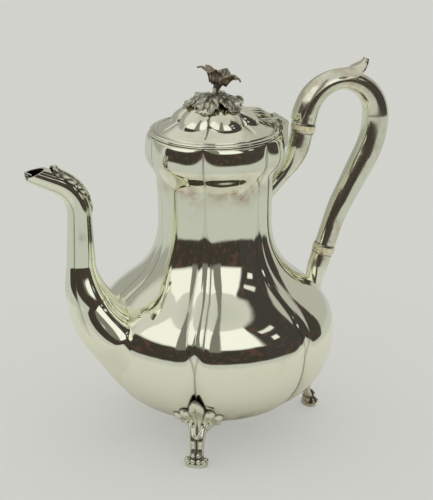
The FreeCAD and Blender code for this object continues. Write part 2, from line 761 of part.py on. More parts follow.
def make_strap(outside):
    """A plate on the collar that carries the hinge's two outer knuckles."""
    axis = hinge_axis()
    outer_spans = knuckle_spans()[1]
    reach = axis.x + KNUCKLE_R
    tall = RIM_Z - 1.5 - STRAP_LOW_Z
    band = Part.makeBox(reach, 2 * STRAP_HALF_WIDTH, tall, Vector(0, -STRAP_HALF_WIDTH, STRAP_LOW_Z))
    pieces = [biggest(vessel_form(STRAP_T).common(band))]
    foot_z = COLLAR_Z
    for low, high in outer_spans:
        pieces.append(barrel(low, high))
        web = [
            (axis.x - KNUCKLE_R * 0.75, axis.z), (axis.x + KNUCKLE_R * 0.9, axis.z),
            (COLLAR_R + STRAP_T, foot_z), (COLLAR_R - 3, foot_z), (RIM_R - 1, RIM_Z - 2.5),
            (axis.x - KNUCKLE_R * 0.75, RIM_Z - 0.2),
        ]
        outline = Part.Face(Part.makePolygon([Vector(x, low, z) for x, z in web + web[:1]]))
        pieces.append(outline.extrude(SIDEWAYS * (high - low)))
    whole = fuse(pieces).cut(outside)
    return biggest(whole.cut(barrel(-reach, reach, HINGE_PIN_R + HINGE_PIN_CLEARANCE)))


def make_lid_knuckle(lid):
    """The lid's knuckle with the tab that is soldered on the lid's field."""
    axis = hinge_axis()
    low, high = knuckle_spans()[0]
    tab_in = LID_FIELD_R - 6
    deck = lid_base_z() + LID_MOULDING_H - 0.3
    tall = tab_top_z() - deck
    tab = Part.makeBox(axis.x - tab_in, high - low, tall, Vector(tab_in, low, deck))
    tab = tab.cut(barrel(low - 1, high + 1))
    whole = fuse([tab, barrel(low, high)]).cut(lid)
    return biggest(whole.cut(barrel(low - 1, high + 1, HINGE_PIN_R + HINGE_PIN_CLEARANCE)))


def tab_top_z():
    """The top of the tab that carries the shell."""
    return hinge_axis().z + KNUCKLE_R * 0.6


def shell_section(x, base, half_width, height):
    """A flat-bottomed section of the shell, with one arc for each flute."""
    tops = []
    for k in range(2 * SHELL_FLUTES + 1):
        share = k / SHELL_FLUTES - 1
        crown = height * (1 - 0.55 * share ** 2)
        rise = SHELL_FLUTE_RISE * height / SHELL_H if k % 2 else 0
        tops.append(Vector(x, half_width * share, base + crown + rise))
    edges = [Part.Arc(*tops[k:k + 3]).toShape() for k in range(0, 2 * SHELL_FLUTES, 2)]
    right = Vector(x, half_width, base)
    left = Vector(x, -half_width, base)
    edges += [Part.makeLine(tops[-1], right), Part.makeLine(right, left), Part.makeLine(left, tops[0])]
    return Part.Wire(edges)


def make_shell(lid):
    """A fluted scallop on the lid's tab, spreading from the hinge over the boss."""
    root = LID_R - HINGE_GAP - 1
    sections = [
        shell_section(root, tab_top_z(), SHELL_ROOT_HALF_WIDTH, SHELL_H * 0.55),
        shell_section(root - SHELL_LENGTH, tab_top_z() + SHELL_RISE, SHELL_HALF_WIDTH, SHELL_H),
    ]
    shell = Part.makeLoft(sections, True, True)
    if shell.Volume < 0:
        shell.reverse()
    return biggest(shell.cut(lid))


# Feet


def make_foot(bearing, outside):
    """A cast foot: a fluted leaf on the belly, an ankle, two scrolls and a flat pad."""
    flutes = []
    root = Vector(ANKLE_R - 1.5, 0, FOOT_LEAF_ROOT_Z)
    for k in range(FOOT_FLUTES):
        fan = math.pi * (k / (FOOT_FLUTES - 1) - 0.5)
        y = FOOT_LEAF_HALF_WIDTH * math.sin(fan)
        z = mix(FOOT_LEAF_EDGE_Z, FOOT_LEAF_TIP_Z, math.cos(fan))
        turn = math.degrees(math.asin(y / vessel_radius(z, 0)))
        tip = polar(vessel_radius(z, turn) + FOOT_FLUTE_R * 0.1, turn, z)
        start = root + SIDEWAYS * (ANKLE_HALF_WIDTH * 0.65 * math.sin(fan))
        flutes.append(rod(start, tip, FOOT_FLUTE_R, FOOT_FLUTE_R * 0.94))
        flutes.append(Part.makeSphere(FOOT_FLUTE_R * 0.94, tip))
    rows = [
        (FOOT_R, FOOT_PAD_T * 0.6, FOOT_PAD_L * 0.4, FOOT_PAD_W * 0.42),
        (mix(FOOT_R, ANKLE_R, 0.6), ANKLE_Z * 0.6, ANKLE_HALF_DEPTH * 1.1, ANKLE_HALF_WIDTH * 1.05),
        (ANKLE_R, ANKLE_Z, ANKLE_HALF_DEPTH, ANKLE_HALF_WIDTH),
        (ANKLE_R - 1, FOOT_LEAF_ROOT_Z, ANKLE_HALF_DEPTH * 1.15, ANKLE_HALF_WIDTH * 1.25),
        (ANKLE_R - 1, FOOT_LEAF_EDGE_Z, ANKLE_HALF_DEPTH * 1.3, ANKLE_HALF_WIDTH * 1.7),
    ]
    ankle = loft([ring(Vector(r, 0, z), Vector(1, 0, 0), SIDEWAYS, deep, wide) for r, z, deep, wide in rows])
    corner = Vector(FOOT_R - FOOT_PAD_L / 2, -FOOT_PAD_W / 2, 0)
    pad = Part.makeBox(FOOT_PAD_L, FOOT_PAD_W, FOOT_PAD_T, corner)
    upright = [edge for edge in pad.Edges if abs(edge.tangentAt(edge.FirstParameter).z) > 0.9]
    pad = pad.makeFillet(FOOT_PAD_L * 0.25, upright)
    scrolls = []
    for side in (-1, 1):
        middle = Vector(FOOT_R, side * FOOT_SCROLL_APART, FOOT_PAD_T * 0.5 + FOOT_SCROLL_R)
        reach = Vector(FOOT_PAD_L * 0.5, 0, 0)
        scrolls.append(rod(middle - reach, middle + reach, FOOT_SCROLL_R))
    foot = fuse([ankle, pad] + scrolls + flutes)
    foot.rotate(Vector(0, 0, 0), UP, bearing)
    return biggest(foot.cut(outside))


def main():
    os.makedirs("parts", exist_ok=True)
    pieces = {}
    outside = vessel_form()
    pieces["body"] = make_body(outside)
    pieces["bottom_plate"] = make_bottom_plate(pieces["body"])

    spout_outer = spout_form()
    pieces["spout_near_half"], pieces["spout_far_half"] = make_spout_halves(outside, spout_outer)
    pieces["spout_leaf"] = make_spout_leaf(spout_outer)

    grip_path = grip_stations()
    grip_sizes = grip_radii()
    upper_path = upper_socket_stations()
    upper_sizes = spread([UPPER_JOINT_R, UPPER_JOINT_R, UPPER_ROOT_R], [2, 4]) + [UPPER_ROOT_R] * 5
    lower_path = lower_socket_stations()
    lower_sizes = spread([LOWER_JOINT_R, LOWER_JOINT_R, LOWER_ROOT_R], [2, 2]) + [LOWER_ROOT_R] * 3
    heel, down = grip_path[-1]
    heel_end = (heel, down * -1)
    grip = hollow_tube(grip_path, grip_sizes)
    heel_ring = end_ring(*heel_end, grip_sizes[-1]).cut(tube(grip_path, grip_sizes))
    heel_pin = cross_pin(*heel_end, grip_sizes[-1] + TUBE_RING_PROUD, PIN_CLEARANCE)
    grip_bore = tube(grip_path, [size - TUBE_WALL for size in grip_sizes])
    grip = fuse([grip, heel_ring]).cut(grip_bore).cut(heel_pin)
    pieces["handle_grip"] = biggest(grip)
    pieces["upper_socket"] = biggest(hollow_tube(upper_path, upper_sizes).cut(outside))
    pieces["lower_socket"] = biggest(hollow_tube(lower_path, lower_sizes).cut(outside))
    upper_middle = Vector(UPPER_JOINT_X, 0, UPPER_JOINT_Z)
    upper_ends = [grip_path[0], upper_path[0]]
    pieces["upper_insulator"] = insulator(upper_middle, grip_path[0][1], UPPER_JOINT_R, upper_ends)
    lower_middle, lower_way = lower_joint()
    lower_ends = [heel_end, lower_path[0]]
    pieces["lower_insulator"] = insulator(lower_middle, lower_way, LOWER_JOINT_R, lower_ends)
    pin_reach = TUBE_RING_PROUD
    pieces["upper_grip_pin"] = cross_pin(*grip_path[0], UPPER_JOINT_R + pin_reach)
    pieces["upper_socket_pin"] = cross_pin(*upper_path[0], UPPER_JOINT_R + pin_reach)
    pieces["lower_grip_pin"] = cross_pin(*heel_end, LOWER_JOINT_R + pin_reach)
    pieces["lower_socket_pin"] = cross_pin(*lower_path[0], LOWER_JOINT_R + pin_reach)
    whole_grip = fuse([tube(grip_path, grip_sizes), end_ring(*grip_path[0], UPPER_JOINT_R)])
    pieces["thumb_leaf"] = make_thumb_leaf(whole_grip)

    lid = make_lid()
    pieces["lid"] = lid
    pieces["lid_bezel"] = make_bezel()
    pieces["finial_leaves"] = make_finial_leaves()
    pieces["finial_flower"] = make_flower()
    pieces["finial_stud"] = make_stud()
    pieces["finial_washer"] = make_washer()
    pieces["finial_nut"] = make_nut()
    pieces["hinge_strap"] = make_strap(outside)
    pieces["lid_knuckle"] = make_lid_knuckle(lid)
    pieces["hinge_shell"] = make_shell(lid)
    span = knuckle_spans()[1]
    pieces["hinge_pin"] = barrel(span[0][0] - HINGE_PIN_PROUD, span[1][1] + HINGE_PIN_PROUD, HINGE_PIN_R)

    for name, bearing in (("handle_foot", 0), ("far_foot", 120), ("near_foot", 240)):
        pieces[name] = make_foot(bearing, outside)

    for name, shape in pieces.items():
        shape.exportStep("parts/" + name + ".step")


main()
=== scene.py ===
"""Dresses the silver coffee pot: smooth vessel, spout, handle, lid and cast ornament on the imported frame.

Lengths are metres, +Z is up, +X points to the handle and -X to the spout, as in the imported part.
"""

import json
import math

import bpy
from mathutils import Matrix, Vector


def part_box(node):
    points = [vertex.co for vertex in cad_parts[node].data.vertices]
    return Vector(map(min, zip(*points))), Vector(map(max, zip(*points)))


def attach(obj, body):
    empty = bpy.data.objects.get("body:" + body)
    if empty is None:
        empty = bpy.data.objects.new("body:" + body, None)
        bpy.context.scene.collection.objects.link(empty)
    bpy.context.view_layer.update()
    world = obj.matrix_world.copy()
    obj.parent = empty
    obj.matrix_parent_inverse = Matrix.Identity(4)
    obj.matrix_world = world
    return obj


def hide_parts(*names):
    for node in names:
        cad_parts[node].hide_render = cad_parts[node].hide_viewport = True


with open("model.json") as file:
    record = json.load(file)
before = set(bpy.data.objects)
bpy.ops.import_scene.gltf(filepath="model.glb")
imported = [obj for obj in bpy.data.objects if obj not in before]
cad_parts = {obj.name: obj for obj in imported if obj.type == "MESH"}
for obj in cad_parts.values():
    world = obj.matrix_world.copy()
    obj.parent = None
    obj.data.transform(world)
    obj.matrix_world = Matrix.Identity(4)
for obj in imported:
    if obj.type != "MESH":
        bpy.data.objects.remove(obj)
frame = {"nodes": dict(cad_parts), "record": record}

bl_info = {
    "name": "Silver coffee pot",
    "version": (1, 0, 0),
    "blender": (4, 5, 0),
    "location": "3D Viewport > Sidebar > Coffee pot",
    "description": "Builds the looks of a lobed silver coffee pot on its packed frame",
    "category": "Object",
}

MM = 0.001
UP = Vector((0, 0, 1))
SIDEWAYS = Vector((0, 1, 0))
# vertex attribute that holds the painted shade in creases and recesses
RECESS = "recess"
STAIN = "stain"
FINISH_PREFIX = "aged_"
PATH_STEP = 1.2 * MM


# Settings


def length(name, millimetres, description):
    return bpy.props.FloatProperty(
        name=name, description=description, default=millimetres * MM, unit="LENGTH", precision=4)


def angle(name, degrees, description):
    return bpy.props.FloatProperty(
        name=name, description=description, default=math.radians(degrees), unit="ROTATION")


def share(name, value, description):
    return bpy.props.FloatProperty(name=name, description=description, default=value)


def count(name, value, description):
    return bpy.props.IntProperty(name=name, description=description, default=value, min=1)


def colour(name, value, description):
    return bpy.props.FloatVectorProperty(
        name=name, description=description, default=value, subtype="COLOR", size=3, min=0, max=1)


class VesselSettings(bpy.types.PropertyGroup):
    lobes: count("Lobes", 6, "Melon lobes round the vessel")
    steps: count("Steps", 324, "Steps of the spin, a multiple of the lobes")
    wall: length("Wall", 1.0, "Thickness of the sheet")
    base_r: length("Base radius", 31.0, "Radius of the flat underside")
    base_z: length("Base height", 15.0, "Height of the underside over the table")
    belly_r: length("Belly radius", 75.2, "Radius at the widest level")
    belly_z: length("Belly height", 67.5, "Height of the widest level")
    roundness: share("Roundness", 0.87, "Power of the belly's lower curve")
    shoulder_pull: length("Shoulder pull", 32.0, "Handle of the curve over the belly")
    neck_r: length("Neck radius", 35.2, "Radius at the waist")
    neck_z: length("Neck height", 139.6, "Height of the waist")
    neck_drop_pull: length("Neck drop pull", 45.5, "Handle of the curve under the waist")
    throat_r: length("Throat radius", 36.0, "Radius where the neck starts to flare")
    throat_z: length("Throat height", 163.0, "Height where the neck starts to flare")
    collar_r: length("Collar radius", 43.0, "Radius of the bulge under the lid")
    collar_z: length("Collar height", 182.0, "Height of the bulge under the lid")
    collar_pull: length("Collar pull", 9.0, "Handles of the curve under the collar")
    rim_r: length("Rim radius", 40.0, "Radius of the rim that the lid rests over")
    rim_z: length("Rim height", 193.0, "Height of the rim")
    ledge: length("Ledge", 2.0, "Width of the rim's flat ledge")
    belly_crease: length("Belly crease", 3.0, "Depth of the creases at the belly")
    neck_crease: length("Neck crease", 1.0, "Depth of the creases at the waist")
    collar_crease: length("Collar crease", 2.0, "Depth of the creases at the collar")
    hole_r: length("Base hole", 24.0, "Radius of the hole that the bottom plate closes")


class SpoutSettings(bpy.types.PropertyGroup):
    wall: length("Wall", 1.0, "Thickness of the sheet")
    reach: length("Reach", 118.2, "Distance of the tip from the axis")
    riser_x: length("Riser", 86.5, "Distance of the riser from the axis")
    root_angle: angle("Root angle", 49.0, "Lean of the root from the level")
    root_length: length("Root length", 32.0, "Straight length in the belly")
    elbow_r: length("Elbow radius", 62.0, "Radius of the elbow's centre line")
    elbow_top_z: length("Elbow top", 118.0, "Height where the elbow ends")
    riser_length: length("Riser length", 32.0, "Straight length of the riser")
    lip_r: length("Lip radius", 24.0, "Radius of the lip's bend")
    lip_turn: angle("Lip turn", 65.0, "Turn of the lip's bend")
    lip_length: length("Lip length", 26.0, "Straight length of the lip")
    mouth_x: length("Mouth", 98.0, "Distance of the mouth's inner end from the axis")
    mouth_z: length("Mouth height", 183.6, "Height of the mouth's inner end")
    mouth_fall: angle("Mouth fall", 16.0, "Fall of the open lip towards its tip")
    crease_share: share("Crease", 0.07, "How far the creases are drawn in")


class HandleSettings(bpy.types.PropertyGroup):
    joint_x: length("Joint", 58.6, "Distance of the upper joint from the axis")
    joint_z: length("Joint height", 190.7, "Height of the upper joint")
    joint_lean: angle("Joint lean", 14.0, "Lean of the upper joint outwards")
    upper_r: length("Upper radius", 7.2, "Tube radius at the upper joint")
    lower_r: length("Lower radius", 6.6, "Tube radius at the lower joint")
    top_r: length("Top radius", 5.7, "Tube radius at the top of the loop")
    arm_r: length("Arm radius", 8.4, "Tube radius down the arm")
    insulator: length("Insulator", 3.2, "Thickness of the insulators' discs")
    ring: length("Ring", 1.4, "Length of the rings at the tubes' ends")
    proud: length("Proud", 0.35, "Height of the rings over the tubes")
    leaf_half_width: length("Leaf half width", 9.6, "Half width of the thumb leaf over its curve")
    leaf_t: length("Leaf thickness", 1.9, "Thickness of the thumb leaf at its root")


class LidSettings(bpy.types.PropertyGroup):
    gap: length("Gap", 0.3, "Gap between rim and lid")
    thickness: length("Thickness", 1.2, "Thickness of the sheet")
    rise: length("Rise", 9.5, "Height of the field's inner end over the lid's edge")
    bow: share("Bow", 1.1, "Power of the field's slope")
    moulding_w: length("Moulding width", 5.0, "Width of the edge moulding")
    boss_r: length("Boss radius", 27.5, "Radius of the boss over the middle of its lobes")
    boss_h: length("Boss height", 11.7, "Height of the boss over the field's inner end")
    wall_pull: length("Wall pull", 7.2, "How far the boss climbs steeply from the field")
    crown_pull: length("Crown pull", 10.5, "How far the boss's crown spreads from its top")
    crown_drop: length("Crown drop", 5.2, "How far the boss's crown falls from its top")
    boss_top_r: length("Boss top", 6.5, "Radius of the boss at its top")
    boss_crease: share("Boss crease", 0.17, "How far the boss's creases are drawn in")
    hole_r: length("Hole", 1.55, "Radius of the stud's hole")
    dart_depth: length("Dart depth", 0.9, "Depth of the creases on the field")


class FinialSettings(bpy.types.PropertyGroup):
    leaf_half_width: length("Leaf half width", 9.0, "Half width of a leaf")
    leaf_t: length("Leaf thickness", 0.7, "Thickness of a leaf")
    petal_length: length("Petal length", 15.0, "Length of a petal along its midrib")
    petal_half_width: length("Petal half width", 4.6, "Half width of a petal")
    tilt: angle("Tilt", 15.0, "Nod of the flower towards the handle")


class FootSettings(bpy.types.PropertyGroup):
    radius: length("Radius", 66.5, "Distance of the feet from the axis")
    pad_w: length("Pad width", 14.0, "Width of the foot's pad")
    pad_l: length("Pad depth", 9.0, "Depth of the foot's pad")
    pad_t: length("Pad height", 2.4, "Height of the foot's pad")
    ankle_r: length("Ankle radius", 64.5, "Distance of the ankles from the axis")
    root_z: length("Leaf root", 19.0, "Height of the palmette's root")
    tip_z: length("Leaf tip", 44.0, "Height of the palmette's tip")
    relief: length("Relief", 1.5, "Height of the palmette's lobes")


class SilverSettings(bpy.types.PropertyGroup):
    clean: colour("Clean", (0.935, 0.945, 0.79), "Polished silver")
    tarnish: colour("Tarnish", (0.60, 0.46, 0.30), "Brown film of tarnish")
    # painted shade: the near-black that creases and recesses are darkened to
    recess: colour("Recess", (0.05, 0.04, 0.028), "Black in the recesses")
    stain: colour("Stain", (0.47, 0.30, 0.17), "Brown stains on the vessel")
    oxide: colour("Oxide", (0.47, 0.40, 0.31), "Brown oxide on the flower")
    bone: colour("Bone", (0.80, 0.74, 0.50), "Old bone")


class StageSettings(bpy.types.PropertyGroup):
    azimuth: angle("Azimuth", -20.3, "Bearing of the camera round the pot")
    elevation: angle("Elevation", 19.94, "Camera's height over the horizon")
    distance: length("Distance", 968.7, "Camera to its aim")
    aim_z: length("Aim", 115.0, "Height of the point that the camera faces")
    lens: share("Lens", 111.3, "Focal length in millimetres on a 36 mm sensor")
    shift_x: share("Shift X", 0.0034, "Sideways shift of the lens")
    shift_y: share("Shift Y", 0.0044, "Upward shift of the lens")
    table_fade: bpy.props.FloatVectorProperty(
        name="Table fade", description="Where reflections pass from the near table to the surroundings",
        default=(0.22, 0.30), size=2, unit="LENGTH")
    shadow_lift: share("Shadow lift", 0.5, "Share of the table's colour that no shadow darkens")
    floor: colour("Floor", (0.80, 0.805, 0.785), "Pale table")
    backdrop: colour("Backdrop", (0.640, 0.645, 0.620), "Pale surroundings behind the pot")
    clutter: colour("Clutter", (0.095, 0.055, 0.045), "Things in the dark part of the room")


SETTINGS = {
    "pot_vessel": VesselSettings,
    "pot_spout": SpoutSettings,
    "pot_handle": HandleSettings,
    "pot_lid": LidSettings,
    "pot_finial": FinialSettings,
    "pot_feet": FootSettings,
    "pot_silver": SilverSettings,
    "pot_stage": StageSettings,
}


# Curves and surfaces


def mix(low, high, portion):
    return low + (high - low) * portion


def ease(low, high, value):
    """0 below low and 1 above high, with level ends."""
    portion = min(max((value - low) / (high - low), 0), 1)
    return portion * portion * (3 - 2 * portion)


def bump(value, middle, width):
    """1 at middle, falling off to 0 on both sides."""
    return math.exp(-((value - middle) / width) ** 2)


def bezier(corners, portion):
    """The point at a share of the curve with four corners."""
    rest = 1 - portion
    weights = [rest ** 3, 3 * portion * rest ** 2, 3 * portion ** 2 * rest, portion ** 3]
    return [sum(w * corner[axis] for w, corner in zip(weights, corners)) for axis in (0, 1)]


def polar(radius, turn, height=0.0):
    return Vector((radius * math.cos(turn), radius * math.sin(turn), height))


# rows of the vessel's outline on each of its stretches
BELLY_ROWS = 26
SHOULDER_ROWS = 44
NECK_ROWS = 14
FLARE_ROWS = 18
RIM_ROWS = 12


def vessel_rows(sizes):
    """(radius, height, crease depth) up the vessel's outer face."""
    low = math.acos((sizes.base_r / sizes.belly_r) ** (1 / sizes.roundness))
    drop = (sizes.belly_z - sizes.base_z) / math.sin(low) ** sizes.roundness
    rows = []
    for k in range(BELLY_ROWS):
        turn = low * (1 - k / BELLY_ROWS)
        radius = sizes.belly_r * math.cos(turn) ** sizes.roundness
        height = sizes.belly_z - drop * math.sin(turn) ** sizes.roundness
        rows.append((radius, height, sizes.belly_crease * (1 - (1 - k / BELLY_ROWS) ** 2)))
    neck = (sizes.neck_r, sizes.neck_z)
    shoulder = [(sizes.belly_r, sizes.belly_z), (sizes.belly_r, sizes.belly_z + sizes.shoulder_pull),
                (sizes.neck_r, sizes.neck_z - sizes.neck_drop_pull), neck]
    for k in range(SHOULDER_ROWS):
        radius, height = bezier(shoulder, k / SHOULDER_ROWS)
        rows.append((radius, height, mix(sizes.belly_crease, sizes.neck_crease, (k / SHOULDER_ROWS) ** 2)))
    for k in range(NECK_ROWS):
        radius = mix(sizes.neck_r, sizes.throat_r, (k / NECK_ROWS) ** 2)
        rows.append((radius, mix(sizes.neck_z, sizes.throat_z, k / NECK_ROWS), sizes.neck_crease))
    lean = 2 * (sizes.throat_r - sizes.neck_r) / (sizes.throat_z - sizes.neck_z)
    flare = [(sizes.throat_r, sizes.throat_z),
             (sizes.throat_r + lean * sizes.collar_pull, sizes.throat_z + sizes.collar_pull),
             (sizes.collar_r, sizes.collar_z - sizes.collar_pull), (sizes.collar_r, sizes.collar_z)]
    for k in range(FLARE_ROWS + 1):
        radius, height = bezier(flare, k / FLARE_ROWS)
        rows.append((radius, height, mix(sizes.neck_crease, sizes.collar_crease, k / FLARE_ROWS)))
    for k in range(1, RIM_ROWS + 1):
        turn = math.pi / 2 * k / RIM_ROWS
        radius = mix(sizes.rim_r, sizes.collar_r, math.cos(turn))
        height = mix(sizes.collar_z, sizes.rim_z, math.sin(turn))
        rows.append((radius, height, sizes.collar_crease * math.cos(turn)))
    return rows


def neighbours(rows, column, value):
    """The rows on both sides of a value in a rising column, and the value's share of the way between them."""
    low, high = 0, len(rows) - 1
    while high - low > 1:
        middle = (low + high) // 2
        if rows[middle][column] <= value:
            low = middle
        else:
            high = middle
    start, end = rows[low][column], rows[high][column]
    return rows[low], rows[high], (value - start) / max(end - start, 1e-9)


def row_at(rows, height):
    """The outline's radius and crease depth at a height."""
    height = min(max(height, rows[0][1]), rows[-1][1])
    below, above, portion = neighbours(rows, 1, height)
    return [mix(below[k], above[k], portion) for k in (0, 2)]


def lobe_share(crease, turn, lobes):
    """How far a lobed ring reaches at a bearing; reach and crease are shares of its full radius."""
    half = math.pi / lobes
    off = turn % (2 * half) - half
    near = 1 - crease
    middle = (1 - near ** 2) / (2 * (1 - near * math.cos(half)))
    arc = 1 - middle
    return middle * math.cos(off) + math.sqrt(max(arc ** 2 - (middle * math.sin(off)) ** 2, 0))


def crease_offset(radius, turn, lobes):
    """Distance round the ring from the nearest crease."""
    half = math.pi / lobes
    return abs((turn + half) % (2 * half) - half) * radius


# the rib along each crease and the lobes' roll in to it; the limits are shares of the vessel's radius, and
# RIB_RISE and LOBE_BOW are shares of the crease's depth
RIB_HALF_WIDTH = 5.4 * MM
RIB_LIMIT = 0.105
RIB_RISE = 0.42
ROLL_WIDTH = 14.0 * MM
ROLL_LIMIT = 0.3
LOBE_BOW = 0.3


def rib_share(sizes, height):
    """How far the rib stands out of the crease at a height: full over the shoulder, none on the belly."""
    return ease(sizes.belly_z - 6 * MM, sizes.belly_z + 20 * MM, height) * (
        1 - ease(sizes.neck_z - 22 * MM, sizes.neck_z + 10 * MM, height))


def rib_width(radius):
    return min(RIB_HALF_WIDTH, RIB_LIMIT * radius)


def vessel_reach(sizes, radius, crease, height, turn):
    """The lobes' reach as a share of the radius: broad arcs, rolled in to a valley with a rib along it."""
    off = crease_offset(radius, turn, sizes.lobes)
    spread = min(ROLL_WIDTH, ROLL_LIMIT * radius)
    groove = rib_width(radius)
    valley = max(1 - off / spread, 0) ** 2
    ribbed = max(1 - max(off, groove) / spread, 0) ** 2
    crest = max(1 - (off / groove) ** 2, 0)
    depth = mix(valley, ribbed - RIB_RISE * crest, rib_share(sizes, height))
    return lobe_share(LOBE_BOW * crease / radius, turn, sizes.lobes) - crease / radius * depth


def vessel_painted_shade(sizes, radius, height, turn):
    """Painted shade: a dark line in the bottom of a crease, or of the two grooves beside its rib; faint round
    the neck.
    """
    off = crease_offset(radius, turn, sizes.lobes)
    line = bump(off, rib_width(radius) * rib_share(sizes, height), 0.6 * MM)
    low = 1 - ease(sizes.base_z, sizes.belly_z, height)
    neck = ease(sizes.belly_z + 30 * MM, sizes.neck_z, height)
    neck *= 1 - ease(sizes.throat_z, sizes.collar_z, height)
    return (1 - 0.72 * neck) * (mix(0.5, 0.85, low) * line + 0.45 * low * bump(off, 0, 5 * MM))


# bearing, height, half width, half height and strength of each brown patch, in degrees and millimetres
STAINS = (
    (250, 164, 95, 5.0, 0.55), (278, 163, 14, 7.0, 0.75), (226, 158, 12, 9.0, 0.4),
    (250, 176, 200, 3.5, 0.3), (270, 27, 16, 5.0, 0.95), (258, 24, 12, 4.0, 0.6),
    (120, 30, 30, 8.0, 0.6), (20, 60, 25, 14.0, 0.4),
)


def vessel_stain(height, turn):
    """Strength of the brown tarnish that clings to the vessel in places."""
    total = 0.0
    for bearing, level, wide, tall, strength in STAINS:
        off = (math.degrees(turn) - bearing + 180) % 360 - 180
        total += strength * bump(off, 0, wide) * bump(height, level * MM, tall * MM)
    return total


def vessel_point(sizes, rows, height, turn):
    radius, crease = row_at(rows, height)
    return polar(radius * vessel_reach(sizes, radius, crease, height, turn), turn, height)


def vessel_normal(sizes, rows, height, turn):
    step = 0.5 * MM
    here = vessel_point(sizes, rows, height, turn)
    up = vessel_point(sizes, rows, height + step, turn) - here
    side = vessel_point(sizes, rows, height, turn + step / max(here.xy.length, step)) - here
    return side.cross(up).normalized()


def heading(lean):
    return Vector((math.sin(lean), 0, math.cos(lean)))


def walk(start, lean, pieces, step):
    """Stations (point, lean, distance) along lines (length, 0) and arcs (radius, turn) in the XZ plane."""
    point = Vector(start)
    travelled = 0.0
    stations = [(point.copy(), lean, travelled)]
    for size, turn in pieces:
        span = abs(size * turn) if turn else size
        cuts = max(2, round(span / step))
        for _ in range(cuts):
            part = turn / cuts
            chord = 2 * size * math.sin(abs(part) / 2) if turn else size / cuts
            point = point + heading(lean + part / 2) * chord
            lean += part
            travelled += span / cuts
            stations.append((point.copy(), lean, travelled))
    return stations


def across(lean):
    """The in-plane normal on the outer side of the handle's loop and the under side of the spout."""
    return heading(lean).cross(SIDEWAYS)


def along(stations, portion):
    """The station at a share of the path's length."""
    before, after, part = neighbours(stations, 2, portion * stations[-1][2])
    return before[0].lerp(after[0], part), mix(before[1], after[1], part)


def oval(point, lean, high, wide, turn):
    """A point on the oval round a path's station, high in the path's plane and wide across it."""
    return point + across(lean) * (high * math.cos(turn)) + SIDEWAYS * (wide * math.sin(turn))


def landmarks(marks, portion):
    """A smooth value at a share, from (share, value) landmarks."""
    for (a, low), (b, high) in zip(marks, marks[1:]):
        if portion <= b:
            return mix(low, high, ease(a, b, portion) * 0.35 + (portion - a) / (b - a) * 0.65)
    return marks[-1][1]


# Modelling


def begin():
    if bpy.context.object and bpy.context.object.mode != "OBJECT":
        bpy.ops.object.mode_set(mode="OBJECT")
    bpy.ops.object.select_all(action="DESELECT")


def spin_outline(name, outline, steps):
    """Draws an outline of (radius, height) points by extruding one vertex, and spins it round the axis."""
    begin()
    first = Vector((outline[0][0], 0, outline[0][1]))
    bpy.ops.mesh.primitive_plane_add(size=MM, location=first)
    piece = bpy.context.object
    piece.name = name
    bpy.ops.object.mode_set(mode="EDIT")
    bpy.ops.mesh.select_all(action="SELECT")
    bpy.ops.mesh.merge(type="CENTER")
    for here, after in zip(outline, outline[1:]):
        step = (after[0] - here[0], 0, after[1] - here[1])
        bpy.ops.mesh.extrude_region_move(TRANSFORM_OT_translate={"value": step})
    bpy.ops.mesh.select_all(action="SELECT")
    bpy.ops.mesh.spin(steps=steps, angle=math.tau, center=(0, 0, 0), axis=(0, 0, 1))
    bpy.ops.object.mode_set(mode="OBJECT")
    bpy.ops.object.transform_apply(location=True, rotation=True, scale=True)
    tidy(piece)
    return piece


def sheet(name, rows, columns, formula, recess=None):
    """A grid laid out by a formula of its two shares, 0 to 1 along its rows and across its columns."""
    begin()
    bpy.ops.mesh.primitive_grid_add(x_subdivisions=rows, y_subdivisions=columns, size=2)
    piece = bpy.context.object
    piece.name = name
    shares = [((v.co.x + 1) / 2, (v.co.y + 1) / 2) for v in piece.data.vertices]
    for vertex, (u, v) in zip(piece.data.vertices, shares):
        vertex.co = formula(u, v)
    # the optional formula gives the painted shade in the piece's recesses, from the same two shares
    if recess:
        mark(piece, [recess(u, v) for u, v in shares])
    return piece


def mark(piece, values, name=RECESS):
    """Stores a value for every vertex, held to 0 to 1, which the silver finishes read: the painted shade in
    creases and recesses, or the stains.
    """
    layer = piece.data.attributes.new(name, "FLOAT", "POINT")
    layer.data.foreach_set("value", [min(max(value, 0), 1) for value in values])


def mould(piece, formula):
    """Moves every vertex of a piece to where the formula puts it."""
    for vertex in piece.data.vertices:
        vertex.co = formula(vertex.co)
    piece.data.update()


def make_active(piece):
    begin()
    piece.select_set(True)
    bpy.context.view_layer.objects.active = piece


def tidy(piece):
    """Merges doubles and turns the faces outwards."""
    make_active(piece)
    bpy.ops.object.mode_set(mode="EDIT")
    bpy.ops.mesh.select_all(action="SELECT")
    bpy.ops.mesh.remove_doubles(threshold=1e-6)
    bpy.ops.mesh.normals_make_consistent(inside=False)
    bpy.ops.object.mode_set(mode="OBJECT")


def close_ends(piece):
    """Fills the open ends of a tube."""
    make_active(piece)
    bpy.ops.object.mode_set(mode="EDIT")
    bpy.ops.mesh.select_all(action="DESELECT")
    bpy.ops.mesh.select_mode(type="EDGE")
    bpy.ops.mesh.select_non_manifold(extend=False)
    bpy.ops.mesh.fill_holes(sides=0)
    bpy.ops.mesh.select_mode(type="VERT")
    bpy.ops.object.mode_set(mode="OBJECT")
    tidy(piece)


def modify(piece, kind, **settings):
    make_active(piece)
    modifier = piece.modifiers.new(kind.title(), kind)
    for key, value in settings.items():
        setattr(modifier, key, value)
    bpy.ops.object.modifier_apply(modifier=modifier.name)


def join(name, pieces):
    begin()
    for piece in pieces:
        piece.select_set(True)
    bpy.context.view_layer.objects.active = pieces[0]
    bpy.ops.object.join()
    pieces[0].name = name
    return pieces[0]


def duplicate(piece, name):
    make_active(piece)
    bpy.ops.object.duplicate()
    bpy.context.object.name = name
    return bpy.context.object


def delete(piece):
    make_active(piece)
    bpy.ops.object.delete()


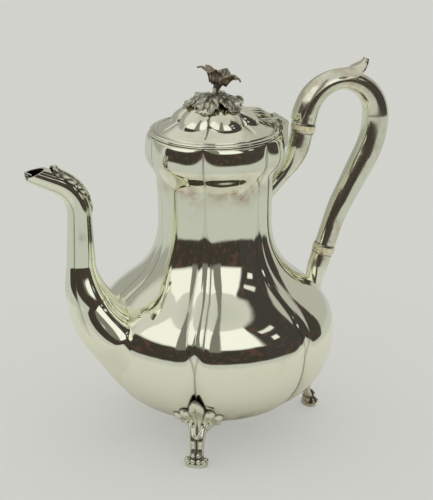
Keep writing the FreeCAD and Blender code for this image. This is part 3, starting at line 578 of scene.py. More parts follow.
def cut_plane(piece, point, normal):
    """Removes what lies on the normal's side of a plane and closes the cut."""
    make_active(piece)
    bpy.ops.object.mode_set(mode="EDIT")
    bpy.ops.mesh.select_all(action="SELECT")
    bpy.ops.mesh.bisect(plane_co=point, plane_no=normal, use_fill=True, clear_outer=True)
    bpy.ops.object.mode_set(mode="OBJECT")


def subtract(piece, cutter):
    modify(piece, "BOOLEAN", operation="DIFFERENCE", object=cutter, solver="EXACT")


def keep_largest(piece):
    """Keeps the loose part with the most faces."""
    make_active(piece)
    bpy.ops.mesh.separate(type="LOOSE")
    parts = sorted(bpy.context.selected_objects, key=lambda part: -len(part.data.polygons))
    name = piece.name
    for part in parts[1:]:
        delete(part)
    parts[0].name = name
    return parts[0]


def vessel_solid(context):
    """A closed solid of the vessel's outer form, for trimming what is soldered on it."""
    sizes = context.scene.pot_vessel
    rows = vessel_rows(sizes)
    outline = [(0, sizes.base_z)] + [(r, z) for r, z, _ in rows] + [(0, sizes.rim_z)]
    cutter = spin_outline("vessel_cutter", outline, sizes.steps // 2)
    mould(cutter, lambda co: lobed(co, rows, sizes))
    return cutter


def warp(turn, lobes):
    """A bearing moved towards the nearest crease, so that the mesh is fine there."""
    half = math.pi / lobes
    crease = round(turn / (2 * half)) * 2 * half
    off = (turn - crease) / half
    return crease + math.copysign(half * abs(off) ** 1.6, off)


def lobed(co, rows, sizes):
    """Where a vertex of the spun outline lies on the lobed vessel."""
    turn = warp(math.atan2(co.y, co.x), sizes.lobes)
    radius, crease = row_at(rows, co.z)
    return polar(co.xy.length * vessel_reach(sizes, radius, crease, co.z, turn), turn, co.z)


def complete(piece, body, slot_name, *nodes, sharp=40, finish=None):
    """Shades a finished piece, gives it its finish and hangs it on its body."""
    tidy(piece)
    piece.data.materials.clear()
    piece.data.materials.append(finish_named(finish or slot_name))
    make_active(piece)
    bpy.ops.object.shade_smooth_by_angle(angle=math.radians(sharp))
    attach(piece, body)
    if nodes:
        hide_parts(*nodes)


# Materials


def add(tree, kind, inputs=None, **settings):
    """A new node, with each input given a value or linked to another node's output."""
    made = tree.nodes.new(kind)
    for key, value in settings.items():
        setattr(made, key, value)
    for key, value in (inputs or {}).items():
        if isinstance(value, bpy.types.NodeSocket):
            tree.links.new(value, made.inputs[key])
        else:
            made.inputs[key].default_value = value
    return made


def sum_node(tree, operation, *values):
    return add(tree, "ShaderNodeMath", dict(enumerate(values)), operation=operation).outputs[0]


def blend(tree, factor, a, b):
    made = add(tree, "ShaderNodeMix", {0: factor, 6: a, 7: b}, data_type="RGBA")
    return made.outputs[2]


def remap(tree, value, low, high):
    """0 below low and 1 above high, with level ends."""
    inputs = {0: value, 1: low, 2: high}
    return add(tree, "ShaderNodeMapRange", inputs, interpolation_type="SMOOTHSTEP").outputs[0]


def noise(tree, vector, scale, detail, roughness=0.5, distortion=0.0):
    inputs = {"Vector": vector, "Scale": scale, "Detail": detail, "Roughness": roughness,
              "Distortion": distortion}
    return add(tree, "ShaderNodeTexNoise", inputs).outputs["Fac"]


def finish_named(name):
    return bpy.data.materials[FINISH_PREFIX + name]


def rgba(value):
    return (*value, 1.0)


def new_group(name, inputs, outputs):
    group = bpy.data.node_groups.new(name, "ShaderNodeTree")
    for label, kind, value in inputs:
        socket = group.interface.new_socket(label, in_out="INPUT", socket_type=kind)
        if value is not None:
            socket.default_value = value
    for label, kind in outputs:
        group.interface.new_socket(label, in_out="OUTPUT", socket_type=kind)
    entry = add(group, "NodeGroupInput")
    leave = add(group, "NodeGroupOutput")
    return group, entry.outputs, leave.inputs


def tarnish_group():
    """Masks of tarnish and of finer clouds, and the heights of dents and fine scratches."""
    group, given, out = new_group(
        "Old silver", [("Vector", "NodeSocketVector", None), ("Amount", "NodeSocketFloat", 0.5)],
        [("Tarnish", "NodeSocketFloat"), ("Cloud", "NodeSocketFloat"), ("Dents", "NodeSocketFloat"),
         ("Scratches", "NodeSocketFloat")])
    place = given["Vector"]
    cloud = noise(group, place, 24.0, 6.0, 0.62, 0.4)
    speck = noise(group, place, 210.0, 4.0, 0.7)
    mixed = sum_node(group, "MULTIPLY_ADD", speck, 0.3, cloud)
    edge = sum_node(group, "SUBTRACT", 0.9, sum_node(group, "MULTIPLY", given["Amount"], 0.4))
    top = sum_node(group, "ADD", edge, 0.3)
    group.links.new(remap(group, mixed, edge, top), out["Tarnish"])
    group.links.new(noise(group, place, 75.0, 5.0, 0.65), out["Cloud"])
    group.links.new(noise(group, place, 42.0, 2.0, 0.4), out["Dents"])
    drawn_out = {"Vector": place, "Rotation": (0.5, 0.3, 0.9), "Scale": (2600.0, 2600.0, 60.0)}
    lean = add(group, "ShaderNodeMapping", drawn_out).outputs[0]
    group.links.new(remap(group, noise(group, lean, 1.0, 2.0), 0.62, 0.8), out["Scratches"])
    return group


def new_material(name):
    """A material with its node tree, its shader and the coordinates of the piece that wears it."""
    material = bpy.data.materials.new(name)
    material.use_nodes = True
    tree = material.node_tree
    place = add(tree, "ShaderNodeTexCoord").outputs["Object"]
    return material, tree, tree.nodes["Principled BSDF"], place


def make_silver(name, group, settings, clean, amount, roughness, dent):
    """Silver with tarnish, stains, dents, scratches, and painted shade that darkens the recesses to black."""
    _, tree, shader, place = new_material(FINISH_PREFIX + name)
    old = add(tree, "ShaderNodeGroup", None, node_tree=group)
    tree.links.new(place, old.inputs["Vector"])
    old.inputs["Amount"].default_value = amount
    # painted shade in the creases and recesses, read from the pieces' vertices
    recess = add(tree, "ShaderNodeAttribute", attribute_name=RECESS).outputs["Fac"]
    stain = add(tree, "ShaderNodeAttribute", attribute_name=STAIN).outputs["Fac"]
    patchy = sum_node(tree, "MULTIPLY", stain, remap(tree, old.outputs["Cloud"], 0.35, 0.7))
    film = sum_node(tree, "MULTIPLY", old.outputs["Tarnish"], 0.75)
    surface = blend(tree, film, rgba(clean), rgba(settings.tarnish))
    surface = blend(tree, patchy, surface, rgba(settings.stain))
    surface = blend(tree, recess, surface, rgba(settings.recess))
    tree.links.new(surface, shader.inputs["Base Color"])
    shader.inputs["Metallic"].default_value = 1.0
    rough = sum_node(tree, "MULTIPLY_ADD", old.outputs["Tarnish"], 0.16, roughness)
    rough = sum_node(tree, "MULTIPLY_ADD", recess, 0.35, rough)
    rough = sum_node(tree, "MULTIPLY_ADD", old.outputs["Scratches"], 0.05, rough)
    tree.links.new(rough, shader.inputs["Roughness"])
    waves = add(tree, "ShaderNodeBump", {"Strength": 1.0, "Distance": dent, "Height": old.outputs["Dents"]})
    lines = add(tree, "ShaderNodeBump", {"Strength": 0.06, "Distance": 0.00005,
                                         "Height": old.outputs["Scratches"], "Normal": waves.outputs[0]})
    tree.links.new(lines.outputs[0], shader.inputs["Normal"])


def make_bone(name, settings):
    """Bone with a fine dark grain."""
    _, tree, shader, place = new_material(FINISH_PREFIX + name)
    grain = remap(tree, noise(tree, place, 420.0, 4.0), 0.45, 0.75)
    dark = [0.55 * value for value in settings.bone]
    surface = blend(tree, grain, rgba(settings.bone), rgba(dark))
    tree.links.new(surface, shader.inputs["Base Color"])
    shader.inputs["Roughness"].default_value = 0.35
    shader.inputs["Subsurface Weight"].default_value = 0.1
    shader.inputs["Subsurface Radius"].default_value = (0.002, 0.0015, 0.001)


# name, share of the clean silver's brightness, amount of tarnish, roughness, depth of the dents in metres
SILVERS = (
    ("polished_silver", 1.0, 0.35, 0.06, 0.0004),
    ("lid_silver", 1.0, 0.5, 0.08, 0.0003),
    ("handle_silver", 0.96, 0.75, 0.12, 0.0004),
    ("cast_silver", 0.92, 0.6, 0.17, 0.00012),
    ("leaf_silver", 0.7, 0.8, 0.24, 0.00012),
    ("plain_silver", 0.88, 0.6, 0.2, 0.0001),
)


class POT_OT_finishes(bpy.types.Operator):
    """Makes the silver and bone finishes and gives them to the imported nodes"""

    bl_idname = "pot.finishes"
    bl_label = "Finishes"

    def execute(self, context):
        settings = context.scene.pot_silver
        group = tarnish_group()
        clean = Vector(settings.clean)
        for name, brightness, amount, roughness, dent in SILVERS:
            make_silver(name, group, settings, clean * brightness, amount, roughness, dent)
        make_silver("oxidised_silver", group, settings, Vector(settings.oxide), 0.6, 0.26, 0.0001)
        make_bone("insulator_bone", settings)
        for part in frame["record"]["subparts"]:
            node = frame["nodes"][part["node"]]
            node.data.materials.clear()
            node.data.materials.append(finish_named(part["material_slot"]))
        return {"FINISHED"}


# Pieces


class POT_OT_vessel(bpy.types.Operator):
    """Spins the vessel's outline, both faces of the sheet, and draws in the creases between its lobes"""

    bl_idname = "pot.vessel"
    bl_label = "Vessel"

    def execute(self, context):
        sizes = context.scene.pot_vessel
        rows = vessel_rows(sizes)
        outer = [(radius, height) for radius, height, _ in rows]
        inner = []
        for k, (radius, height) in enumerate(outer):
            below, above = outer[max(k - 1, 0)], outer[min(k + 1, len(outer) - 1)]
            run, rise = above[0] - below[0], above[1] - below[1]
            size = math.hypot(run, rise)
            inside = (radius - sizes.wall * rise / size, height + sizes.wall * run / size)
            if inside[1] < sizes.rim_z - sizes.wall:
                inner.append(inside)
        mouth = sizes.rim_r - sizes.ledge
        ledge = [(mouth, sizes.rim_z), (mouth, sizes.rim_z - 2 * sizes.wall)]
        hole = [(sizes.hole_r, sizes.base_z + sizes.wall), (sizes.hole_r, sizes.base_z)]
        outline = outer + ledge + inner[::-1] + hole + [outer[0]]
        piece = spin_outline("vessel", outline, sizes.steps)
        mould(piece, lambda co: lobed(co, rows, sizes))

        # painted shade along the vessel's creases; the stains marked after it are real tarnish
        def painted_shade(co):
            radius, _ = row_at(rows, co.z)
            return vessel_painted_shade(sizes, radius, co.z, math.atan2(co.y, co.x))

        points = [vertex.co for vertex in piece.data.vertices]
        mark(piece, [painted_shade(co) for co in points])
        mark(piece, [vessel_stain(co.z, math.atan2(co.y, co.x)) for co in points], STAIN)
        complete(piece, "pot", "polished_silver", "body")
        return {"FINISHED"}


def spout_path(sizes):
    turn = math.pi / 2 - sizes.root_angle
    bend = Vector((sizes.elbow_r - sizes.riser_x, 0, sizes.elbow_top_z))
    foot = bend - Vector((math.cos(turn), 0, math.sin(turn))) * sizes.elbow_r
    start = foot + Vector((math.sin(turn), 0, -math.cos(turn))) * sizes.root_length
    pieces = [(sizes.root_length, 0), (sizes.elbow_r, turn), (sizes.riser_length, 0),
              (sizes.lip_r, -sizes.lip_turn), (sizes.lip_length, 0)]
    return walk(start, -turn, pieces, PATH_STEP)


# the spout's half heights and half widths in millimetres at the stops that spout_section names
SPOUT_HIGHS = (23.0, 20.0, 13.6, 8.8, 7.4, 6.6, 5.2)
SPOUT_WIDES = (38.0, 33.0, 18.0, 9.2, 7.6, 7.0, 6.6)


def spout_section(sizes, path, portion):
    """Half height and half width of the spout's section at a share of its path."""
    total = path[-1][2]
    elbow = sizes.elbow_r * (math.pi / 2 - sizes.root_angle)
    stops = [0, sizes.root_length, sizes.root_length + elbow / 2, sizes.root_length + elbow]
    stops.append(stops[-1] + sizes.riser_length)
    stops.append(stops[-1] + sizes.lip_r * sizes.lip_turn)
    stops.append(total)
    return [landmarks([(s / total, v * MM) for s, v in zip(stops, values)], portion)
            for values in (SPOUT_HIGHS, SPOUT_WIDES)]


# bearings of the creases round the spout's section in degrees from its under side
SPOUT_CREASES = (0, 45, 125, 235, 315, 360)


def spout_reach(turn, depth):
    """How far the spout's lobed section reaches, as a share, with creases on its under side and flanks."""
    degrees = math.degrees(turn) % 360
    for low, high in zip(SPOUT_CREASES, SPOUT_CREASES[1:]):
        if low <= degrees <= high:
            swell = math.sin(math.pi * (degrees - low) / (high - low))
            return 1 - depth * (1 - swell ** 0.8)
    return 1


class POT_OT_spout(bpy.types.Operator):
    """Lays the lobed swan neck along its path, trims it at the vessel, mouth and tip, and halves it"""

    bl_idname = "pot.spout"
    bl_label = "Spout"

    def execute(self, context):
        sizes = context.scene.pot_spout
        path = spout_path(sizes)

        def skin(u, v):
            point, lean = along(path, u)
            high, wide = spout_section(sizes, path, u)
            turn = math.tau * v
            reach = spout_reach(turn, sizes.crease_share)
            return oval(point, lean, high * reach, wide * reach, turn)

        # painted shade along the spout's creases
        def recess(u, v):
            degrees = 360 * v
            near = min(abs(degrees - crease) for crease in SPOUT_CREASES[1:5])
            return 0.55 * bump(near, 0, 3.0) * ease(0.25, 0.4, u)

        piece = sheet("spout", 150, 144, skin, recess)
        tidy(piece)
        modify(piece, "SOLIDIFY", thickness=sizes.wall, offset=-1.0)
        cutter = vessel_solid(context)
        subtract(piece, cutter)
        delete(cutter)
        begin()
        reach = sizes.reach
        corner = Vector((-sizes.mouth_x, 0, sizes.mouth_z))
        bpy.ops.mesh.primitive_cube_add(size=reach)
        box = bpy.context.object
        out = Vector((-math.cos(sizes.mouth_fall), 0, -math.sin(sizes.mouth_fall)))
        up = Vector((0.1, 0, 1)).normalized()
        mould(box, lambda co: corner + out * (co.x + reach / 2) + SIDEWAYS * co.y + up * (co.z + reach / 2))
        tidy(box)
        subtract(piece, box)
        delete(box)
        piece = keep_largest(piece)
        cut_plane(piece, (-sizes.reach, 0, 0), (-1, 0, 0))
        far = duplicate(piece, "spout_far")
        cut_plane(piece, (0, 0, 0), (0, 1, 0))
        cut_plane(far, (0, 0, 0), (0, -1, 0))
        piece.name = "spout_near"
        complete(piece, "pot", "polished_silver", "spout_near_half", sharp=50)
        complete(far, "pot", "polished_silver", "spout_far_half", sharp=50)
        return {"FINISHED"}


def grip_path(sizes):
    """The grip's stations from the upper joint to the lower, and the distances at which its pieces meet."""
    lean = sizes.joint_lean
    start = Vector((sizes.joint_x, 0, sizes.joint_z)) + heading(lean) * (sizes.insulator / 2)
    pieces = [(8.0 * MM, 0), (24.0 * MM, math.pi / 2 - lean), (24.0 * MM, math.pi / 2)]
    pieces += [(56.0 * MM, math.radians(28.5)), (31.0 * MM, 0)]
    pieces += [(100.0 * MM, math.radians(-10)), (15.0 * MM, 0)]
    stops = [0.0]
    for size, turn in pieces:
        stops.append(stops[-1] + (abs(size * turn) if turn else size))
    return walk(start, lean, pieces, PATH_STEP), stops


def grip_radius(sizes, stops, portion):
    heel = mix(sizes.arm_r, sizes.lower_r, 0.6)
    values = [sizes.upper_r, sizes.upper_r, sizes.top_r, sizes.arm_r, sizes.arm_r, heel]
    values += [sizes.lower_r, sizes.lower_r]
    return landmarks([(s / stops[-1], value) for s, value in zip(stops, values)], portion)


def lay_tube(name, path, radius, sizes, both_ends):
    """A tube along a path, with a raised ring at its start or at both ends."""
    total = path[-1][2]
    ring = sizes.ring

    def from_rings(u):
        return [u * total, (1 - u) * total] if both_ends else [u * total]

    def skin(u, v):
        point, lean = along(path, u)
        lip = max(sizes.proud * (1 - ease(0.8 * ring, ring, gap)) for gap in from_rings(u))
        size = radius(u) + lip
        return oval(point, lean, size, size, math.tau * v)

    # painted shade in the step at the foot of each raised ring
    def recess(u, v):
        return max(0.7 * bump(gap, ring, 0.25 * ring) for gap in from_rings(u))

    piece = sheet(name, max(24, round(total / (0.7 * MM))), 56, skin, recess)
    tidy(piece)
    close_ends(piece)
    return piece


def lay_socket(name, start, lean, pieces, sizes, radius, root):
    """A socket's tube, even up to its bend and then drawn in to its root inside the vessel."""
    path = walk(start, lean, pieces, MM)
    total = path[-1][2]
    straight, (bend_r, turn) = pieces[0][0], pieces[1]
    bent = straight + bend_r * abs(turn)
    marks = [(0, radius), (straight / total, radius), (bent / total, root), (1, root)]
    return lay_tube(name, path, lambda u: landmarks(marks, u), sizes, False)


class POT_OT_handle(bpy.types.Operator):
    """Lays the grip and its two sockets along their paths"""

    bl_idname = "pot.handle"
    bl_label = "Handle"

    def execute(self, context):
        sizes = context.scene.pot_handle
        path, stops = grip_path(sizes)
        grip = lay_tube("grip", path, lambda u: grip_radius(sizes, stops, u), sizes, True)
        complete(grip, "pot", "handle_silver", "handle_grip")
        cutter = vessel_solid(context)
        lean = sizes.joint_lean
        start = Vector((sizes.joint_x, 0, sizes.joint_z)) - heading(lean) * (sizes.insulator / 2)
        pieces = [(11 * MM, 0), (36 * MM, math.radians(30)), (25 * MM, 0)]
        upper = lay_socket("upper_socket_tube", start, lean + math.pi, pieces, sizes, sizes.upper_r, 4.4 * MM)
        subtract(upper, cutter)
        complete(keep_largest(upper), "pot", "handle_silver", "upper_socket")
        heel, heel_lean, _ = path[-1]
        start = heel + heading(heel_lean) * sizes.insulator
        pieces = [(10 * MM, 0), (60 * MM, math.radians(-10)), (16 * MM, 0)]
        lower = lay_socket("lower_socket_tube", start, heel_lean, pieces, sizes, sizes.lower_r, 5.4 * MM)
        subtract(lower, cutter)
        complete(keep_largest(lower), "pot", "handle_silver", "lower_socket")
        delete(cutter)
        return {"FINISHED"}


def plot(stops, portion):
    """A point on the smooth curve through (x, z) stops, and the lean of its heading."""
    place = portion * (len(stops) - 1)
    k = min(int(place), len(stops) - 2)
    part = place - k
    a, b = stops[k], stops[k + 1]
    before, after = stops[max(k - 1, 0)], stops[min(k + 2, len(stops) - 1)]
    point, slope = [], []
    for axis in (0, 1):
        m0, m1 = (b[axis] - before[axis]) / 2, (after[axis] - a[axis]) / 2
        c2 = 3 * (b[axis] - a[axis]) - 2 * m0 - m1
        c3 = 2 * (a[axis] - b[axis]) + m0 + m1
        point.append(a[axis] + part * (m0 + part * (c2 + part * c3)))
        slope.append(m0 + part * (2 * c2 + 3 * part * c3))
    return Vector((point[0], 0, point[1])), math.atan2(slope[0], slope[1])


def turned(point, turn):
    return Matrix.Rotation(turn, 4, "Z") @ point


# shares of the grip's path that the thumb leaf lies on, and its tip's stops beyond the last, in millimetres
THUMB_LEAF_STOPS = (0.012, 0.05, 0.1, 0.15, 0.2, 0.245)
THUMB_LEAF_TIP = ((5.5, 0.1), (10.0, 1.3), (13.0, 3.4), (14.4, 6.2))
THUMB_LEAF_BEND_R = 9.7 * MM
THUMB_LEAF_TIP_BEND_R = 60 * MM


class POT_OT_thumb_leaf(bpy.types.Operator):
    """Lays the broad leaf over the grip's outer side, with its tip curled up off the loop"""

    bl_idname = "pot.thumb_leaf"
    bl_label = "Thumb leaf"

    def execute(self, context):
        sizes = context.scene.pot_handle
        path, stops = grip_path(sizes)
        lift = 0.5 * sizes.leaf_t
        ridge = []
        for portion in THUMB_LEAF_STOPS:
            point, lean = along(path, portion)
            place = point + across(lean) * (grip_radius(sizes, stops, portion) + lift)
            ridge.append((place.x, place.z))
        last_x, last_z = ridge[-1]
        ridge += [(last_x + x * MM, last_z + z * MM) for x, z in THUMB_LEAF_TIP]

        def blade(u, v):
            point, lean = plot(ridge, u)
            side = 2 * v - 1
            swell = mix(0.85, 1.0, ease(0, 0.3, u)) * (1 - 0.72 * ease(0.62, 1.0, u) ** 1.3)
            curve = mix(1 / THUMB_LEAF_BEND_R, 1 / THUMB_LEAF_TIP_BEND_R, ease(0.5, 0.8, u))
            turn = sizes.leaf_half_width * swell * curve * side
            rib = 0.5 * MM * bump(side, 0, 0.2) * ease(0.3, 0.6, u)
            drop = (1 - math.cos(turn)) / curve - rib
            return point + SIDEWAYS * (math.sin(turn) / curve) - across(lean) * drop

        piece = sheet("thumb_leaf_blade", 64, 28, blade)
        modify(piece, "SOLIDIFY", thickness=0.75 * sizes.leaf_t, offset=0.0)
        modify(piece, "BEVEL", width=0.25 * MM, segments=2, limit_method="ANGLE")
        complete(piece, "pot", "handle_silver", "thumb_leaf", sharp=60)
        return {"FINISHED"}


# share of the boss's radius at which the field ends in the creases, and the field's height at the moulding
FIELD_END = 0.75
FIELD_FOOT = 2.3 * MM
# distance in from the lid's edge and height over its underside round the moulding, in millimetres
LID_MOULDING = (
    (4.2, 2.25), (3.9, 2.75), (3.4, 3.0), (2.9, 2.8), (2.6, 2.2), (2.3, 1.95), (1.9, 2.1),
    (1.3, 2.2), (0.6, 1.95), (0.15, 1.45), (0.0, 0.9), (0.1, 0.4), (0.5, 0.0),
)


def field_level(sizes, base, edge, radius):
    """The height of the lid's field, which climbs from the moulding to the boss, at a radius."""
    portion = max((edge - radius) / (edge - FIELD_END * sizes.boss_r), 0)
    return mix(base + FIELD_FOOT, base + sizes.rise, portion ** sizes.bow)


def boss_outline(sizes, foot, top, inset=0.0, steps=36):
    """(radius, height) up the middle of one of the boss's lobes, from the field to its top."""
    corners = [(sizes.boss_r, foot), (sizes.boss_r, foot + sizes.wall_pull)]
    corners += [(sizes.boss_top_r + sizes.crown_pull, top - sizes.crown_drop), (sizes.boss_top_r, top)]
    rows = [bezier(corners, k / steps) for k in range(steps + 1)]
    return [(radius - inset, level - inset * k / steps) for k, (radius, level) in enumerate(rows)]


def higher(a, b, soft):
    """The higher of two levels, rounded over where they cross."""
    near = max(soft - abs(a - b), 0) / soft
    return max(a, b) + near * near * soft / 4


class POT_OT_lid(bpy.types.Operator):
    """Spins the lid with its moulded edge and boss, and draws in the boss's lobes and the darts between"""

    bl_idname = "pot.lid"
    bl_label = "Lid"

    def execute(self, context):
        sizes = context.scene.pot_lid
        vessel = context.scene.pot_vessel
        base = vessel.rim_z + sizes.gap
        edge = vessel.rim_r
        inner_edge = edge - sizes.moulding_w
        top = base + sizes.rise + sizes.boss_h
        foot_r = sizes.boss_r
        foot = field_level(sizes, base, inner_edge, foot_r) - sizes.thickness / 2
        boss = boss_outline(sizes, foot, top)
        inside = boss_outline(sizes, foot, top, sizes.thickness, 12)
        outline = [(sizes.hole_r, top)] + boss[::-1]
        slope = [mix(foot_r, inner_edge, k / 24) for k in range(1, 25)]
        outline += [(radius, field_level(sizes, base, inner_edge, radius)) for radius in slope]
        outline += [(edge - inset * MM, base + high * MM) for inset, high in LID_MOULDING]
        outline += [(inner_edge + 0.4 * MM, base), (inner_edge, base + 1.1 * MM)]
        for radius in slope[-4::-4]:
            outline.append((radius, field_level(sizes, base, inner_edge, radius) - sizes.thickness))
        outline += inside
        outline += [(sizes.hole_r, top - sizes.thickness), (sizes.hole_r, top)]
        piece = spin_outline("lid_top", outline, vessel.steps)
        lobes = vessel.lobes

        def surface(radius):
            """The top of the lid over the middle of a lobe."""
            if radius >= foot_r:
                return field_level(sizes, base, inner_edge, radius)
            spans = zip(boss, boss[1:])
            low, high = next((pair for pair in spans if pair[1][0] <= radius), (boss[-2], boss[-1]))
            portion = (low[0] - radius) / max(low[0] - high[0], 0.01 * MM)
            return mix(low[1], high[1], min(max(portion, 0), 1))

        def shape(co):
            turn = warp(math.atan2(co.y, co.x), lobes)
            spun = co.xy.length
            if spun > inner_edge + 0.2 * MM:
                return polar(spun, turn, co.z)
            climb = min(max((co.z - foot) / (top - foot), 0), 1)
            drawn = lobe_share(sizes.boss_crease * (1 - 0.6 * climb ** 2), turn, lobes)
            radius = spun * mix(drawn, 1, ease(foot_r - 0.5 * MM, foot_r + 6.5 * MM, spun))
            off = crease_offset(radius, turn, lobes)
            dart = ease(0.7 * foot_r, 0.85 * foot_r, radius) * (1 - ease(foot_r, inner_edge - MM, radius))
            ground = field_level(sizes, base, inner_edge, radius)
            ground -= sizes.dart_depth * dart * max(1 - off / (3.0 * MM), 0) ** 2
            if co.z < surface(spun) - 0.5 * sizes.thickness:
                ground -= sizes.thickness
            return polar(radius, turn, higher(co.z, ground, 0.9 * MM) if spun < foot_r else ground)

        mould(piece, shape)

        # painted shade in the boss's creases and the moulding's grooves
        def painted_shade(co):
            radius = co.xy.length
            off = crease_offset(radius, math.atan2(co.y, co.x), lobes)
            on_boss = 1 - ease(foot_r - MM, inner_edge - 2 * MM, radius)
            ring = 0.5 * bump(radius, edge - 2.35 * MM, 0.35 * MM)
            ring += 0.35 * bump(radius, inner_edge + 0.7 * MM, 0.4 * MM)
            return max(0.8 * bump(off, 0, 0.55 * MM) * on_boss, ring)

        mark(piece, [painted_shade(vertex.co) for vertex in piece.data.vertices])
        complete(piece, "lid", "polished_silver", "lid", finish="lid_silver")
        return {"FINISHED"}


LEAF_BEARINGS = (160, 228, 296, 18, 90)
# radius and height over the boss's top along a leaf's midrib in millimetres, and the radii's scale
LEAF_DRAPE = (
    (1.6, 1.5), (5.0, 1.9), (8.6, 1.2), (11.8, -0.4), (14.6, -2.6), (17.0, -4.8), (19.0, -5.9), (20.6, -5.6),
)
LEAF_SPREAD = 0.92
LEAF_VEINS = 4.5
VEIN_SLANT = 1.1


def boss_top(scene):
    """The height of the top of the lid's boss."""
    return scene.pot_vessel.rim_z + scene.pot_lid.gap + scene.pot_lid.rise + scene.pot_lid.boss_h


class POT_OT_finial_leaves(bpy.types.Operator):
    """Drapes one toothed and veined leaf over the boss and repeats it round the stem"""

    bl_idname = "pot.finial_leaves"
    bl_label = "Finial leaves"

    def execute(self, context):
        sizes = context.scene.pot_finial
        top = boss_top(context.scene)
        stops = [(LEAF_SPREAD * r * MM, top + z * MM) for r, z in LEAF_DRAPE]
        leaves = []
        for k, bearing in enumerate(LEAF_BEARINGS):
            lift = 0.9 * MM * math.sin(2.1 * k)
            size = mix(0.9, 1.06, (k * 3 % 5) / 4)

            def blade(u, v):
                point, lean = plot(stops, u)
                side = 2 * v - 1
                teeth = 1 - 0.3 * (1 - (u * LEAF_VEINS + 0.15) % 1.0) * ease(0.15, 0.3, u)
                outline = max(math.sin(math.pi * min(u * 0.94 + 0.06, 1)), 0.02) ** 0.75
                wide = sizes.leaf_half_width * size * outline * mix(1, teeth, abs(side) ** 2)
                veins = math.sin(math.tau * (u * LEAF_VEINS - abs(side) * VEIN_SLANT))
                veins *= abs(side) ** 0.5 * (1 - abs(side))
                swell = 0.8 * bump(side, 0, 0.16) * (1 - u) - 0.5 * bump(abs(side), 0.22, 0.1) + 0.85 * veins
                droop = 1.9 * side * side * ease(0.1, 0.6, u)
                ruffle = 0.9 * math.sin(math.tau * (u * 2.25 + 0.2 * k)) * abs(side) ** 2 * ease(0.2, 0.5, u)
                out = (swell - droop + ruffle) * MM + lift * u * u
                place = point + SIDEWAYS * (wide * side) - across(lean) * out
                return turned(place, math.radians(bearing))

            # painted shade in the veins, beside the midrib and at the leaf's root by the boss
            def painted_shade(u, v):
                side = abs(2 * v - 1)
                vein = max(-math.sin(math.tau * (u * LEAF_VEINS - side * VEIN_SLANT)), 0) ** 2
                vein *= (1 - side) ** 0.5
                return max(0.65 * vein, 0.8 * bump(side, 0.2, 0.08), 0.9 * (1 - ease(0, 0.2, u))) * 0.9

            leaf = sheet("leaf", 56, 36, blade, painted_shade)
            modify(leaf, "SOLIDIFY", thickness=sizes.leaf_t, offset=-1.0)
            leaves.append(leaf)
        piece = join("finial_leaf_spray", leaves)
        complete(piece, "lid", "cast_silver", "finial_leaves", sharp=70, finish="leaf_silver")
        return {"FINISHED"}


# bearing and turn towards the tip in degrees, and share of the full length, for each petal
PETALS = ((172, 96, 1.08), (232, 58, 0.95), (292, 70, 0.95), (352, 128, 1.0), (52, 70, 0.95), (112, 84, 1.0))


# radius and height of the outlines of the lily's stem and throat and of its stamen, in millimetres
LILY_STEM = (
    (0, -0.6), (1.9, -0.6), (2.1, 0.2), (1.55, 1.4), (1.6, 3.0), (2.2, 5.2),
    (3.2, 7.4), (4.3, 9.4), (4.0, 9.6), (2.7, 7.6), (1.2, 6.2), (0, 5.8),
)
LILY_STAMEN = ((0, 5.0), (0.5, 5.0), (0.5, 11.5), (0.95, 12.3), (0.7, 13.3), (0, 13.7))


class POT_OT_flower(bpy.types.Operator):
    """Spins the stem and throat of the lily, sets recurved petals round it and tilts it towards the handle"""

    bl_idname = "pot.flower"
    bl_label = "Flower"

    def execute(self, context):
        sizes = context.scene.pot_finial
        base = boss_top(context.scene) + 1.2 * MM
        throat = spin_outline("throat", [(r * MM, z * MM) for r, z in LILY_STEM], 48)
        # painted shade over the lily's stem, deepening into its throat, and an even painted shade on the
        # stamen
        mark(throat, [0.375 * ease(0, 6 * MM, v.co.z) + 0.3 for v in throat.data.vertices])
        stamen = spin_outline("stamen", [(r * MM, z * MM) for r, z in LILY_STAMEN], 16)
        mark(stamen, [0.2] * len(stamen.data.vertices))
        parts = [throat, stamen]
        for bearing, tip_lean, portion in PETALS:
            reach = sizes.petal_length * portion
            curl = math.radians(tip_lean)
            pieces = [(0.25 * reach, 0), (0.75 * reach / curl, curl)]
            path = walk((3.2 * MM, 0, 7.6 * MM), math.radians(24), pieces, 0.5 * MM)

            def blade(u, v):
                point, lean = along(path, u)
                side = 2 * v - 1
                wide = sizes.petal_half_width * mix(0.62, 1.0, ease(0, 0.45, u))
                wide *= 1 - ease(0.5, 1.02, u) ** 1.4
                cup = 1.7 * MM * side * side * (1 - 0.6 * u)
                wave = 0.55 * MM * math.sin(math.tau * (1.6 * u + 0.3 * side)) * side * ease(0.3, 0.7, u)
                rib = 0.55 * MM * bump(side, 0, 0.13) + 0.25 * MM * bump(abs(side), 0.5, 0.12)
                place = point + SIDEWAYS * (wide * side) - across(lean) * (cup + rib + wave)
                return turned(place, math.radians(bearing))

            # painted shade along the petal's grooves and at its root in the throat
            def painted_shade(u, v):
                side = abs(2 * v - 1)
                lines = max(0.8 * bump(side, 0.24, 0.09), 0.6 * bump(side, 0.72, 0.1))
                return max(lines, 0.9 * (1 - ease(0, 0.35, u)))

            petal = sheet("petal", 44, 26, blade, painted_shade)
            modify(petal, "SOLIDIFY", thickness=0.55 * MM, offset=0.0)
            parts.append(petal)
        piece = join("lily", parts)
        tilt = Matrix.Rotation(sizes.tilt, 4, "Y")
        mould(piece, lambda co: tilt @ co + UP * base)
        complete(piece, "lid", "cast_silver", "finial_flower", sharp=70, finish="oxidised_silver")
        return {"FINISHED"}


SHELL_RIBS = 9


